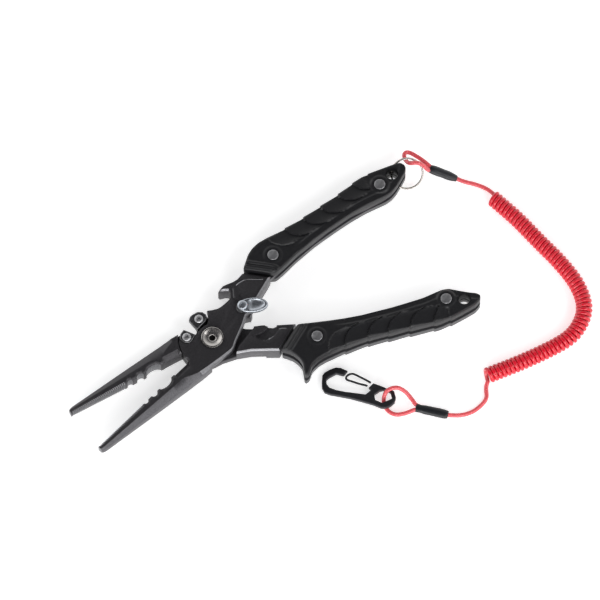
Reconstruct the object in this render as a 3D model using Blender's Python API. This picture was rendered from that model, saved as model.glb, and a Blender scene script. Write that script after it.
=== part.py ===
"""Long-nose fishing pliers with a coiled lanyard, built as separate pieces.

Frame: the origin is on the pivot axis, at the surface the pliers lie on. +Z is up and +X runs
towards the jaw tips along the lower face of contact of lever A. Lever A is fixed. Lever B is
drawn with the jaws shut, and its empty turns it open about the pivot.
Lengths in the tables are millimetres; MM turns them into metres.
"""
import math

import bmesh
import bpy
from mathutils import Matrix, Vector

MM = 0.001

# Driving dimensions
JAW_OPENING = 15.7                      # degrees between the jaws at rest, against the open stop
JAW_LENGTH = 103.6
JAW_ROOT = 14.0                         # where the jaw loft starts, inside the joint plate
GAP = 0.3                               # clearance between touching pieces
FULL_LOW, FULL_HIGH = 3.5, 14.5         # thickness of the jaws and of both plates together
PLATE_SPLIT_LOW, PLATE_SPLIT_HIGH = 8.9, 9.2
NECK_LOW = 1.0
PLATE_RADIUS = 21.8
SHOULDER_RADIUS = PLATE_RADIUS + 0.4
GRIP_HIGH = 18.5
TANG_LOW, TANG_HIGH = 7.2, 11.3
EDGE = 1.2                              # chamfer on the forged edges
FAR_EDGE = 0.3                          # the chamfer is small on the edges that face -Y

PIVOT_HEAD_RADIUS = 7.2
PIVOT_SHANK_RADIUS = 3.0
BUSH_RADIUS = 4.2
NUT_RADIUS = 7.0
NUT_HEIGHT = 3.2

LOCK_PIVOT = (-28.6, -1.1)
LOCK_ANGLE = 139.5                      # direction of the open lock lever
LOCK_OVAL = (10.0, 5.1)                 # half length and half width
LOCK_MIDDLE = 6.6                       # from its screw to the middle of the oval
LOCK_TAB = (13.7, 15.2)                 # inner and outer radius of the catch under its tip
BLADE_A_SCREW = (11.4, -11.8)
BLADE_B_SCREW = (1.2, -15.4)
BLADE_LOW, BLADE_HIGH = 11.6, 14.6
BLADE_SEAT = BLADE_LOW - GAP

RIVETS_A = ((-67.4, -11.8), (-150.9, 2.7))
RIVETS_B = ((-58.3, 33.4), (-143.1, 52.1))
HOLE_A = (-162.0, 2.9)
HOLE_B = (-153.4, 57.5)
HOLE_RADIUS = 3.6

RING_CENTRE = Vector((-171.4, 7.4, 9.0))
RING_RADIUS, RING_WIRE = 10.2, 1.05
RING_TILT = 40.0
RING_ALONG = Vector((0.8, -0.6, 0.0))   # level diameter of the ring, towards the lanyard hole

CORD_RADIUS = 1.4
COIL_RADIUS = 5.35
SLEEVE_HALF = (3.1, 2.1)


# ---------------------------------------------------------------- helpers
def clear_scene():
    for item in list(bpy.data.objects):
        bpy.data.objects.remove(item, do_unlink=True)


def material(name, colour, roughness, metallic):
    found = bpy.data.materials.get(name)
    if found:
        return found
    made = bpy.data.materials.new(name)
    made.use_nodes = True
    shader = made.node_tree.nodes["Principled BSDF"]
    shader.inputs["Base Color"].default_value = (*colour, 1.0)
    shader.inputs["Roughness"].default_value = roughness
    shader.inputs["Metallic"].default_value = metallic
    return made


def add_object(name, data, look, parent=None):
    made = bpy.data.objects.new(name, data)
    bpy.context.scene.collection.objects.link(made)
    if look:
        data.materials.append(look)
    made.parent = parent
    return made


def finish_mesh(name, work, smooth_angle=35.0):
    bmesh.ops.recalc_face_normals(work, faces=work.faces)
    mesh = bpy.data.meshes.new(name)
    work.to_mesh(mesh)
    work.free()
    mesh.shade_smooth()
    mesh.set_sharp_from_angle(angle=math.radians(smooth_angle))
    return mesh


def arc(centre, radius, start, end, steps):
    """Points on a circle from start to end, in degrees."""
    points = []
    for step in range(steps + 1):
        angle = math.radians(start + (end - start) * step / steps)
        points.append((centre[0] + radius * math.cos(angle), centre[1] + radius * math.sin(angle)))
    return points


def inset(points, amount, far=None):
    """The outline moved inwards; edges that face -Y by the amount far, where given."""
    area = sum(a[0] * b[1] - b[0] * a[1] for a, b in zip(points, points[1:] + points[:1]))
    side = 1.0 if area > 0 else -1.0
    moved = []
    for index, point in enumerate(points):
        before = Vector(point) - Vector(points[index - 1])
        after = Vector(points[(index + 1) % len(points)]) - Vector(point)
        normal_a = Vector((-before.y, before.x)).normalized()
        normal_b = Vector((-after.y, after.x)).normalized()
        middle = (normal_a + normal_b).normalized()
        stretch = min(1.6, 1.0 / max(0.3, middle.dot(normal_a)))
        step = amount if far is None or middle.y * side < 0.1 else far
        moved.append(tuple(Vector(point) + middle * side * step * stretch))
    return moved


def stack(rings):
    """A closed solid through outlines of equal length, each a list of points in space."""
    work = bmesh.new()
    layers = [[work.verts.new(Vector(p) * MM) for p in ring] for ring in rings]
    count = len(layers[0])
    for low, high in zip(layers, layers[1:]):
        for index in range(count):
            following = (index + 1) % count
            work.faces.new((low[index], low[following], high[following], high[index]))
    work.faces.new(layers[0])
    work.faces.new(layers[-1])
    return work


def at_height(points, height):
    return [(x, y, height) for x, y in points]


def prism(points, low, high, edge_low=0.0, edge_high=0.0, far=None):
    """An outline raised from low to high, with chamfered edges where asked for."""
    rings = []
    if edge_low:
        rings.append(at_height(inset(points, edge_low), low))
    rings.append(at_height(points, low + edge_low))
    rings.append(at_height(points, high - edge_high))
    if edge_high:
        rings.append(at_height(inset(points, edge_high, far), high))
    return stack(rings)


def turned(profile, centre, steps=32):
    """A turned solid about a vertical axis from (radius, height) pairs; radius 0 closes an end."""
    work = bmesh.new()
    rings = []
    for radius, height in profile:
        if radius == 0.0:
            rings.append([work.verts.new(Vector((centre[0], centre[1], height)) * MM)])
            continue
        circle = arc(centre, radius, 0, 360, steps)[:-1]
        rings.append([work.verts.new(Vector((x, y, height)) * MM) for x, y in circle])
    closed = profile[0][0] != 0.0
    pairs = list(zip(rings, rings[1:])) + ([(rings[-1], rings[0])] if closed else [])
    for low, high in pairs:
        for index in range(steps):
            after = (index + 1) % steps
            corners = [low[index % len(low)], low[after % len(low)],
                       high[after % len(high)], high[index % len(high)]]
            unique = list(dict.fromkeys(corners))
            if len(unique) > 2:
                work.faces.new(unique)
    return work


def smooth_route(points, spacing):
    """Evenly spaced points on a smooth curve through the given ones."""
    knots = [Vector(p) for p in points]
    knots = [knots[0] * 2 - knots[1]] + knots + [knots[-1] * 2 - knots[-2]]
    dense = []
    for index in range(1, len(knots) - 2):
        p0, p1, p2, p3 = knots[index - 1:index + 3]
        for step in range(24):
            t = step / 24
            dense.append(0.5 * ((2 * p1) + (p2 - p0) * t + (2 * p0 - 5 * p1 + 4 * p2 - p3) * t * t
                                + (3 * p1 - p0 - 3 * p2 + p3) * t ** 3))
    dense.append(knots[-2])
    lengths = [0.0]
    for a, b in zip(dense, dense[1:]):
        lengths.append(lengths[-1] + (b - a).length)
    count = max(2, round(lengths[-1] / spacing))
    route, cursor = [], 0
    for step in range(count + 1):
        target = lengths[-1] * step / count
        while cursor < len(dense) - 2 and lengths[cursor + 1] < target:
            cursor += 1
        span = lengths[cursor + 1] - lengths[cursor]
        route.append(dense[cursor].lerp(dense[cursor + 1], (target - lengths[cursor]) / span))
    return route


def tube(name, points, radius, look, parent=None, sides=2, cyclic=False):
    """A round bar along the points, as a bevelled curve with filled ends."""
    curve = bpy.data.curves.new(name, "CURVE")
    curve.dimensions = "3D"
    curve.bevel_depth = radius * MM
    curve.bevel_resolution = sides
    curve.use_fill_caps = not cyclic
    spline = curve.splines.new("POLY")
    spline.points.add(len(points) - 1)
    for slot, point in zip(spline.points, points):
        slot.co = (*(Vector(point) * MM), 1.0)
    spline.use_cyclic_u = cyclic
    return add_object(name, curve, look, parent)


def cut(target, work, operation="DIFFERENCE"):
    """Apply a Boolean with a hidden cutter made from a bmesh."""
    mesh = finish_mesh(target.name + "_tool", work)
    tool = add_object(target.name + "_tool", mesh, None, target.parent)
    tool.hide_render = True
    tool.display_type = "WIRE"
    modifier = target.modifiers.new("shape", "BOOLEAN")
    modifier.operation = operation
    modifier.object = tool
    return modifier


def solid(name, work, look, parent=None, smooth_angle=35.0):
    return add_object(name, finish_mesh(name, work, smooth_angle), look, parent)


def cylinder(centre, radius, low, high, steps=32):
    return turned(((0.0, low), (radius, low), (radius, high), (0.0, high)), centre, steps)


def turn(points, degrees):
    c, s = math.cos(math.radians(degrees)), math.sin(math.radians(degrees))
    return [(x * c - y * s, x * s + y * c) for x, y in points]


# ---------------------------------------------------------------- materials
COATED_STEEL = material("coated_steel", (0.045, 0.045, 0.05), 0.42, 0.8)
SATIN_STEEL = material("satin_steel", (0.55, 0.55, 0.56), 0.3, 1.0)
POLISHED_STEEL = material("polished_steel", (0.78, 0.8, 0.82), 0.12, 1.0)
SPRING_STEEL = material("spring_steel", (0.35, 0.34, 0.32), 0.35, 1.0)
TUNGSTEN = material("tungsten", (0.16, 0.16, 0.17), 0.35, 1.0)
BRONZE = material("bronze", (0.5, 0.33, 0.15), 0.4, 1.0)
GRIP_BLACK = material("grip_black", (0.018, 0.018, 0.02), 0.7, 0.0)
RED_CORD = material("red_cord", (0.75, 0.02, 0.05), 0.3, 0.0)
SHRINK_BLACK = material("shrink_black", (0.02, 0.022, 0.028), 0.5, 0.0)
ANTHRACITE = material("anthracite", (0.06, 0.062, 0.068), 0.4, 0.7)


# ---------------------------------------------------------------- jaws
TEETH_START, TEETH_PITCH, TEETH_DEPTH = 63.6, 1.6, 0.5
TEETH_COUNT = 25
NOTCHES = ((43.0, 5.4, 2.6), (52.8, 2.5, 1.8), (60.4, 1.9, 1.3))   # centre, half width, depth
RECESS_START, RECESS_END = 23.2, 34.8
FACE = 0.15                             # half the gap left between the shut jaws


def jaw_stations():
    """Pairs of distance along the jaw and depth of its inner face behind the contact plane."""
    stations = [(JAW_ROOT, FACE), (22.0, FACE), (RECESS_START, FACE), (RECESS_END, FACE),
                (RECESS_END + 0.3, FACE)]
    for centre, half, depth in NOTCHES:
        for step in range(8):
            angle = math.pi * step / 7
            stations.append((centre - half * math.cos(angle), FACE + depth * math.sin(angle)))
    for tooth in range(TEETH_COUNT):
        start = TEETH_START + tooth * TEETH_PITCH
        stations.append((start, FACE))
        stations.append((start + TEETH_PITCH / 2, FACE + TEETH_DEPTH))
    stations.append((TEETH_START + TEETH_COUNT * TEETH_PITCH, FACE))
    stations.append((JAW_LENGTH, FACE))
    return sorted(set(stations))


def between(x, table):
    """Straight-line reading of a table of (x, value)."""
    if x <= table[0][0]:
        return table[0][1]
    for (x0, v0), (x1, v1) in zip(table, table[1:]):
        if x <= x1:
            return v0 + (v1 - v0) * (x - x0) / (x1 - x0)
    return table[-1][1]


OUTER = ((14.0, 13.8), (22.0, 13.3), (60.0, 9.2), (100.5, 4.6), (102.6, 4.0), (103.6, 3.2))
TOP_OUTER = ((14.0, 12.0), (24.0, 10.4), (32.5, 6.5), (100.5, 2.9), (103.6, 2.4))
THINNING = ((35.0, 0.0), (105.0, 2.5))
INNER_CHAMFER = ((36.0, 1.7), (105.0, 0.9))


def jaw_section(x, depth, side):
    """Eight-sided section; side is +1 for jaw A and -1 for jaw B."""
    outer, top_outer = between(x, OUTER), between(x, TOP_OUTER)
    thin = between(x, THINNING)
    low, high = FULL_LOW + thin, FULL_HIGH - thin
    drop = min(3.0, 1.2 + 0.3 * (outer - top_outer))
    inner = between(x, INNER_CHAMFER)
    fall = inner * 0.6
    if RECESS_START <= x <= RECESS_END:
        inner, fall = 4.0, 3.4
    inner_top = min(depth + inner, top_outer - 0.6)
    section = [(depth, low + 0.4), (depth + 0.4, low), (outer - 0.7, low), (outer, low + 0.7),
               (outer, high - drop), (top_outer, high), (inner_top, high), (depth, high - fall)]
    return [(x, side * y, z) for y, z in section]


def jaw_loft(side):
    return stack([jaw_section(x, depth, side) for x, depth in jaw_stations()])


# ---------------------------------------------------------------- lever A (fixed)
HOOK_A = [(-40.0, -17.4), (-37.0, -18.1), (-33.0, -19.7), (-30.4, -20.6), (-27.4, -20.4),
          (-25.2, -19.7), (-27.0, -18.6), (-29.2, -17.4), (-30.6, -15.8), (-30.6, -14.0),
          (-29.4, -12.4), (-27.8, -11.5), (-26.0, -11.2), (-22.6, -11.2), (-19.0, -11.5),
          (-17.0, -12.0), (-14.0, -13.7), (-11.0, -15.9)]
EAR_A = [(5.6, -9.4), (6.5, -12.0), (8.8, -17.4), (12.4, -16.6), (15.2, -14.8), (17.6, -13.0)]
BODY_A = (HOOK_A + [(-8.9, -12.5), (-6.8, -10.6)] + arc((0, 0), 10.0, 246, 298, 6) + EAR_A
          + arc((0, 0), PLATE_RADIUS, -36, 2, 8) + [(24.0, 3.0), (24.0, 11.0)]
          + [(15.0, 13.0), (5.0, 14.3), (-3.0, 15.0), (-5.6, 14.5), (-9.0, 12.6), (-20.5, 7.8),
             (-26.5, 4.6), (-30.2, 4.2), (-31.2, 3.6), (-41.0, 1.0), (-53.0, -2.2),
             (-56.6, -3.4), (-45.4, -17.8)])
TANG_A = [(-48.0, -15.6), (-56.0, -21.5), (-64.0, -23.2), (-74.0, -22.0), (-100.0, -15.6),
          (-126.0, -11.2), (-148.0, -8.2), (-162.0, -2.6), (-169.8, 1.8), (-170.8, 4.4),
          (-168.6, 7.0), (-158.0, 10.0), (-152.0, 10.8), (-146.0, 9.6), (-124.0, 2.8),
          (-104.0, -0.4), (-80.0, -2.4), (-62.0, -2.4), (-50.0, -3.6)]


def ring_side():
    return Vector((-0.6, -0.8, 0.0)) * math.cos(math.radians(RING_TILT)) \
        + Vector((0, 0, 1)) * math.sin(math.radians(RING_TILT))


def ring_point(angle, radius=RING_RADIUS):
    turn_by = math.radians(angle)
    return RING_CENTRE + (RING_ALONG * math.cos(turn_by) + ring_side() * math.sin(turn_by)) * radius


def ring_clearance():
    """A fat ring round the split ring's path, cut out of the handle that it passes through."""
    work = bmesh.new()
    normal = RING_ALONG.cross(ring_side())
    rows, sides = 28, 8
    grid = []
    for row in range(rows):
        outward = (ring_point(360 * row / rows) - RING_CENTRE).normalized()
        middle = ring_point(360 * row / rows)
        circle = []
        for side in range(sides):
            a = 2 * math.pi * side / sides
            offset = (outward * math.cos(a) + normal * math.sin(a)) * (RING_WIRE + 0.75)
            circle.append(work.verts.new((middle + offset) * MM))
        grid.append(circle)
    for row in range(rows):
        for side in range(sides):
            work.faces.new((grid[row][side], grid[row][(side + 1) % sides],
                            grid[(row + 1) % rows][(side + 1) % sides], grid[(row + 1) % rows][side]))
    return work


CLAW_A = [(-24.5, 3.0), (-25.6, 5.9), (-28.8, 6.3), (-31.2, 5.2), (-31.6, 2.0)]
SWING_CORNER = [(-16.0, 13.0), (-29.2, 9.6), (-28.6, 5.7), (-23.6, 2.7), (-20.0, -0.8), (-14.0, 0.0)]


def build_lever_a(parent):
    lever = solid("lever_a", prism(BODY_A, NECK_LOW, FULL_HIGH, 0.0, EDGE, FAR_EDGE), COATED_STEEL, parent)
    cut(lever, jaw_loft(1), "UNION")
    neck_space = [(-26.0, -30), (34.0, -30), (34.0, 30), (-26.0, 30)]
    cut(lever, prism(neck_space, NECK_LOW - 1, FULL_LOW))
    swing = (arc((0, 0), SHOULDER_RADIUS, -150, 30, 20) + arc((0, 0), 19.1, 36, 90, 8)
             + arc((0, 0), SHOULDER_RADIUS, 96, 200, 14))
    cut(lever, prism(CLAW_A, NECK_LOW, 9.0, 0.0, 0.8), "UNION")
    cut(lever, prism(swing, NECK_LOW - 1, PLATE_SPLIT_HIGH))
    # Room for the lower plate of lever B when the jaws shut.
    cut(lever, prism(SWING_CORNER, NECK_LOW - 1, PLATE_SPLIT_HIGH))
    cut(lever, prism(TANG_A, TANG_LOW, TANG_HIGH), "UNION")
    cut(lever, cylinder((0, 0), BUSH_RADIUS + GAP, 2, 16))
    cut(lever, turned(((6.3, 9.0), (9.6, 9.0), (9.6, 10.8), (6.3, 10.8)), (0, 0)))
    seat = [(5.4, -8.9), (8.0, -8.0), (11.2, -7.2), (13.9, -8.2), (15.6, -10.6), (15.6, -20),
            (5.4, -20)]
    cut(lever, prism(seat, BLADE_SEAT, 16))
    cut(lever, cylinder(BLADE_A_SCREW, 1.95, 8, 16, 16))
    cut(lever, cylinder(LOCK_PIVOT, 2.15, 8, 16, 16))
    for place in RIVETS_A:
        cut(lever, cylinder(place, 2.5, 5, 13, 16))
    cut(lever, cylinder(HOLE_A, HOLE_RADIUS + 0.2, 5, 13, 20))
    cut(lever, ring_clearance())
    return lever


# ---------------------------------------------------------------- lever B (turns, drawn shut)
EAR_B = [(-5.2, -13.0), (-5.4, -16.4), (-3.6, -19.2), (-0.6, -21.0), (3.0, -21.0), (5.3, -20.4),
         (4.9, -17.0), (4.4, -13.4), (5.3, -10.4)]
RISER_B = [(-4.2, -13.8), (-4.9, -16.4), (-3.3, -18.9), (-0.5, -20.5), (2.9, -20.5), (4.9, -19.9),
           (4.5, -17.0), (4.0, -13.6)]
PLATE_B_FRONT = [(8.6, -8.4), (13.0, -9.6), (18.4, -10.2), (19.6, -13.0), (24.0, -12.9),
                 (24.0, -1.0)]
NECK_B = [(-8.4, 17.0), (-17.3, 20.1), (-27.3, 25.4), (-33.3, 28.8), (-51.4, 17.9),
          (-45.7, 15.3), (-40.4, 12.7), (-37.8, 12.6), (-34.4, 10.2), (-33.6, 8.8), (-31.2, 7.7),
          (-27.6, 6.3)]
BODY_B = (EAR_B + PLATE_B_FRONT + arc((0, 0), PLATE_RADIUS, -2, 30, 6)
          + arc((0, 0), 18.7, 35, 50, 3) + [(6.7, 15.3), (0.7, 15.3)] + NECK_B
          + [(-23.0, 3.6), (-16.0, -3.0), (-10.0, -9.0)])
TANG_B = [(-36.5, 30.0), (-45.0, 35.0), (-56.0, 44.5), (-68.0, 46.4), (-88.0, 49.8),
          (-113.0, 56.6), (-133.0, 62.6), (-157.0, 63.2), (-162.0, 59.6), (-160.0, 56.4),
          (-146.5, 46.4), (-130.0, 45.0), (-110.0, 41.0), (-90.0, 35.8), (-70.0, 29.0),
          (-52.0, 21.4), (-46.0, 18.0)]


LOCK_POCKET = [(-40.0, 10.5), (-40.4, 15.6), (-38.9, 16.6), (-36.0, 18.0), (-32.8, 18.5), (-29.2, 18.5),
               (-26.2, 16.6), (-24.4, 14.6)]


def build_lever_b(parent):
    lever = solid("lever_b", prism(BODY_B, NECK_LOW, FULL_HIGH, 0.0, EDGE, FAR_EDGE), COATED_STEEL, parent)
    cut(lever, jaw_loft(-1), "UNION")
    neck_space = [(-26.0, -30), (34.0, -30), (34.0, 30), (-26.0, 30)]
    cut(lever, prism(neck_space, NECK_LOW - 1, FULL_LOW))
    swing = (arc((0, 0), SHOULDER_RADIUS, -130, 70, 22)
             + [(-6.0, 24.0), (-8.2, 16.6), (-12.0, 13.4), (-20.0, 10.0), (-26.6, 7.0),
                (-29.0, 2.0), (-20.0, -14.0)])
    cut(lever, prism(swing, PLATE_SPLIT_LOW, 16))
    riser = RISER_B + arc((0, 0), 11.4, 288, 264, 4)
    cut(lever, prism(riser, PLATE_SPLIT_LOW - 2, BLADE_SEAT), "UNION")
    cut(lever, prism(TANG_B, TANG_LOW, TANG_HIGH), "UNION")
    cut(lever, cylinder((0, 0), BUSH_RADIUS + GAP, 2, 16))
    cut(lever, turned(((6.3, 7.2), (9.6, 7.2), (9.6, 9.1), (6.3, 9.1)), (0, 0)))
    pocket = arc(LOCK_PIVOT, 13.3, 74, 134, 8) + LOCK_POCKET
    cut(lever, prism(pocket, 11.6, 16))
    cut(lever, cylinder(BLADE_B_SCREW, 1.95, 4.6, 16, 16))
    for place in RIVETS_B:
        cut(lever, cylinder(place, 2.5, 5, 13, 16))
    cut(lever, cylinder(HOLE_B, HOLE_RADIUS + 0.2, 5, 13, 20))
    return lever


# ---------------------------------------------------------------- grips
GRIP_A = [(-46.9, -18.7), (-51.2, -21.0), (-56.2, -23.6), (-61.1, -24.9), (-66.9, -24.9),
          (-72.9, -23.4), (-84.9, -20.2), (-97.9, -17.2), (-115.9, -14.1), (-125.9, -12.4),
          (-140.9, -10.8), (-146.9, -10.0), (-151.8, -8.0), (-160.8, -4.1), (-167.8, -1.0),
          (-171.3, 1.0), (-172.3, 3.3), (-171.8, 5.9), (-169.4, 7.8), (-163.9, 9.4), (-157.9, 11.1),
          (-153.0, 11.7), (-148.1, 11.0), (-140.1, 8.2), (-134.1, 6.2), (-124.1, 3.8),
          (-114.1, 2.0), (-104.1, 0.5), (-94.0, -0.8), (-79.0, -1.6), (-66.0, -1.5), (-60.2, -1.8),
          (-57.7, -3.9)]
GRIP_B = [(-51.6, 19.6), (-60.3, 23.3), (-70.3, 27.4), (-80.3, 31.2), (-90.3, 34.5), (-100.4, 37.1),
          (-110.4, 39.7), (-120.4, 41.8), (-130.4, 43.8), (-143.9, 44.9), (-148.2, 46.5),
          (-152.1, 50.0), (-158.2, 55.2), (-162.2, 58.0), (-163.8, 60.4), (-162.2, 63.0),
          (-157.9, 64.7), (-150.0, 65.0), (-139.0, 65.0), (-133.1, 64.3), (-123.2, 61.5),
          (-113.2, 58.4), (-103.1, 55.7), (-88.1, 51.4), (-78.1, 49.6), (-68.1, 48.0),
          (-58.0, 46.8), (-51.9, 47.1), (-45.8, 48.9), (-41.3, 51.9), (-39.1, 52.7), (-38.6, 51.8),
          (-39.7, 48.6), (-41.4, 44.7), (-41.1, 40.5), (-39.5, 36.1), (-37.0, 32.6), (-34.1, 29.7)]
GRIP_SPLITS = ((0.0, TANG_LOW - GAP), (TANG_HIGH + GAP, GRIP_HIGH))
RIVET_SEAT = 3.9


def build_grip(name, outline, low, high, rivets, hole, parent):
    top = high == GRIP_HIGH
    edges = (0.0, 1.6) if top else (1.6, 0.0)
    grip = solid(name, prism(outline, low, high, *edges), GRIP_BLACK, parent)
    for place in rivets:
        if top:
            bore = ((0.0, low - 1), (2.5, low - 1), (2.5, high - 1.2), (RIVET_SEAT, high - 1.2),
                    (RIVET_SEAT, high + 1), (0.0, high + 1))
        else:
            bore = ((0.0, low - 1), (RIVET_SEAT, low - 1), (RIVET_SEAT, low + 1.2),
                    (2.5, low + 1.2), (2.5, high + 1), (0.0, high + 1))
        cut(grip, turned(bore, place, 20))
    flare = HOLE_RADIUS + 0.6
    if top:
        funnel = ((0.0, low - 1), (HOLE_RADIUS, low - 1), (HOLE_RADIUS, high - 3.4),
                  (flare, high + 0.6), (0.0, high + 0.6))
    else:
        funnel = ((0.0, low - 0.6), (flare, low - 0.6), (HOLE_RADIUS, low + 3.4),
                  (HOLE_RADIUS, high + 1), (0.0, high + 1))
    cut(grip, turned(funnel, hole, 20))
    if hole == HOLE_A:
        cut(grip, ring_clearance())
    return grip


def build_rivet(name, place, parent):
    head, shank = 3.55, 2.2
    low, high = 0.5, GRIP_HIGH - 0.3
    profile = ((0.0, low), (head - 0.3, low), (head, low + 0.2), (head, low + 0.4), (shank, low + 0.4),
               (shank, high - 0.6), (head, high - 0.6), (head, high - 0.2), (head - 0.4, high),
               (0.0, high))
    return solid(name, turned(profile, place, 20), SATIN_STEEL, parent)


# ---------------------------------------------------------------- joint hardware
def build_pivot(parent):
    screw = ((0.0, 0.9), (PIVOT_SHANK_RADIUS, 0.9), (PIVOT_SHANK_RADIUS, 14.8),
             (PIVOT_HEAD_RADIUS, 14.8), (PIVOT_HEAD_RADIUS, 15.5), (PIVOT_HEAD_RADIUS - 0.5, 15.9),
             (5.6, 15.9), (2.6, 15.2), (2.1, 15.0), (2.1, 13.4), (0.0, 13.4))
    solid("pivot_screw", turned(screw, (0, 0), 32), SATIN_STEEL, parent)
    nut = ((0.0, 0.0), (NUT_RADIUS - 0.4, 0.0), (NUT_RADIUS, 0.4), (NUT_RADIUS, NUT_HEIGHT),
           (PIVOT_SHANK_RADIUS + GAP, NUT_HEIGHT), (PIVOT_SHANK_RADIUS + GAP, 0.6), (0.0, 0.6))
    solid("pivot_nut", turned(nut, (0, 0), 32), SATIN_STEEL, parent)
    bush = ((PIVOT_SHANK_RADIUS + GAP, 3.6), (BUSH_RADIUS, 3.6), (BUSH_RADIUS, 14.4),
            (PIVOT_SHANK_RADIUS + GAP, 14.4))
    solid("pivot_bush", turned(bush, (0, 0)), BRONZE, parent)


def build_return_spring(parent):
    """Torsion spring in the ring-shaped recess between the plates."""
    wire, pitch, turns, radius = 0.45, 1.15, 1.8, 7.95
    points = []
    for step in range(round(turns * 20) + 1):
        angle = 2 * math.pi * step / 20
        height = 9.05 + pitch * (step / 20 - turns / 2)
        points.append((radius * math.cos(angle), radius * math.sin(angle), height))
    tube("return_spring", points, wire, SPRING_STEEL, parent, 1)


def build_screw(name, place, top, bottom, look, head, shank, parent):
    profile = ((0.0, bottom), (shank, bottom), (shank, top), (head, top), (head, top + 0.5),
               (head * 0.86, top + 1.1), (head * 0.62, top + 1.45), (1.0, top + 1.5),
               (1.0, top + 0.6), (0.0, top + 0.6))
    return solid(name, turned(profile, place, 18), look, parent)


BLADE_A = [(5.8, -9.2), (8.8, -17.2), (12.4, -16.6), (15.1, -14.6), (15.1, -10.9), (13.6, -8.7),
           (11.2, -7.7), (8.6, -8.4)]
BLADE_B = [(5.2, -9.8), (6.5, -13.4), (7.2, -18.0), (5.2, -20.0), (3.0, -20.5), (-0.8, -20.5),
           (-3.4, -18.8), (-4.6, -16.2),
           (-3.9, -13.9), (-2.0, -12.3), (1.0, -11.3)]


def build_cutter(letter, outline, screw, shank_end, parent):
    blade = solid("cutter_blade_" + letter, prism(outline, BLADE_LOW, BLADE_HIGH, 0.0, 0.35),
                  TUNGSTEN, parent)
    cut(blade, cylinder(screw, 1.95, BLADE_LOW - 1, BLADE_HIGH + 1, 16))
    build_screw("cutter_screw_" + letter, screw, BLADE_HIGH + GAP, shank_end, SATIN_STEEL, 2.9,
                1.6, parent)


def build_lock(lever_parent, lock_parent):
    """Thumb lever on lever A whose catch drops behind the step on lever B's neck."""
    washer = ((2.2, 14.8), (4.2, 14.8), (4.2, 15.2), (2.2, 15.2))
    solid("lock_washer", turned(washer, LOCK_PIVOT, 24), SPRING_STEEL, lever_parent)
    heading = math.radians(LOCK_ANGLE)
    way = Vector((math.cos(heading), math.sin(heading)))
    start = Vector(LOCK_PIVOT)
    across = Vector((-way.y, way.x))
    outline = []
    for x, y in arc((0, 0), 1.0, 0, 360, 28)[:-1]:
        outline.append(tuple(start + way * (LOCK_MIDDLE + LOCK_OVAL[0] * x) + across * LOCK_OVAL[1] * y))
    lever = solid("lock_lever", prism(outline, 15.5, 17.9, 0.0, 0.7), POLISHED_STEEL, lock_parent)
    inner, outer = LOCK_TAB
    corners = [start + way * inner - across * 1.5, start + way * outer - across * 1.5,
               start + way * outer + across * 1.5, start + way * inner + across * 1.5]
    cut(lever, prism([tuple(c) for c in corners], 12.3, 16.2), "UNION")
    cut(lever, cylinder(LOCK_PIVOT, 2.15, 11, 20, 16))
    build_screw("lock_screw", LOCK_PIVOT, 17.9 + GAP, 10.2, SATIN_STEEL, 3.3, 1.8, lever_parent)


# ---------------------------------------------------------------- lanyard
SLEEVE_A = (Vector((-184.0, 15.4, 9.4)), Vector((-193.2, 31.2, 3.0)))
SLEEVE_B = (Vector((-71.4, 141.6, 2.3)), Vector((-60.0, 123.6, 3.6)))
LOOP_A = [(-182.5, 15.6, 9.8), (-182.0, 13.6, 12.0), (-180.9, 11.4, 14.4), (-179.4, 9.0, 16.0),
          (-177.6, 7.0, 15.4), (-176.4, 4.6, 13.2), (-176.6, 1.4, 11.4), (-178.0, -1.8, 11.6),
          (-180.4, -2.9, 11.8), (-182.6, -0.8, 11.0), (-184.0, 3.6, 10.2), (-185.0, 9.0, 9.8),
          (-185.2, 14.0, 9.6)]
CORD_A = [(-193.6, 31.9, 2.8), (-195.6, 36.0, 1.9), (-199.4, 42.4, 1.5), (-202.0, 49.0, 1.5),
          (-202.6, 54.0, 1.7), (-202.4, 56.9, 2.0)]
COIL = [(-199.0, 57.6, 5.5), (-199.2, 66.0, 5.5), (-199.3, 80.5, 5.5), (-197.9, 101.7, 5.5),
        (-196.9, 119.3, 5.5), (-193.6, 137.8, 5.5), (-186.2, 152.0, 5.5), (-174.7, 159.2, 5.5),
        (-159.8, 160.2, 5.5), (-134.2, 152.4, 5.5), (-107.4, 141.6, 5.5)]
CORD_B = [(-105.3, 144.2, 3.0), (-103.4, 144.8, 2.4), (-101.0, 146.8, 1.7), (-97.0, 150.9, 1.5), (-90.9, 151.9, 1.5),
          (-84.0, 151.0, 1.5), (-77.4, 147.6, 1.6), (-72.0, 142.5, 2.2)]
LOOP_B = [(-61.6, 122.4, 3.4), (-62.4, 117.0, 4.6), (-62.4, 112.0, 6.6), (-60.6, 107.4, 8.4),
          (-57.2, 104.8, 8.9), (-53.6, 103.7, 8.0), (-50.8, 104.4, 4.8), (-48.9, 106.0, 1.8),
          (-47.6, 108.2, 1.45), (-46.9, 110.8, 1.45), (-46.9, 114.2, 1.45), (-48.8, 118.2, 1.9),
          (-53.2, 121.6, 2.8), (-57.9, 123.9, 3.5)]


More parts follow.
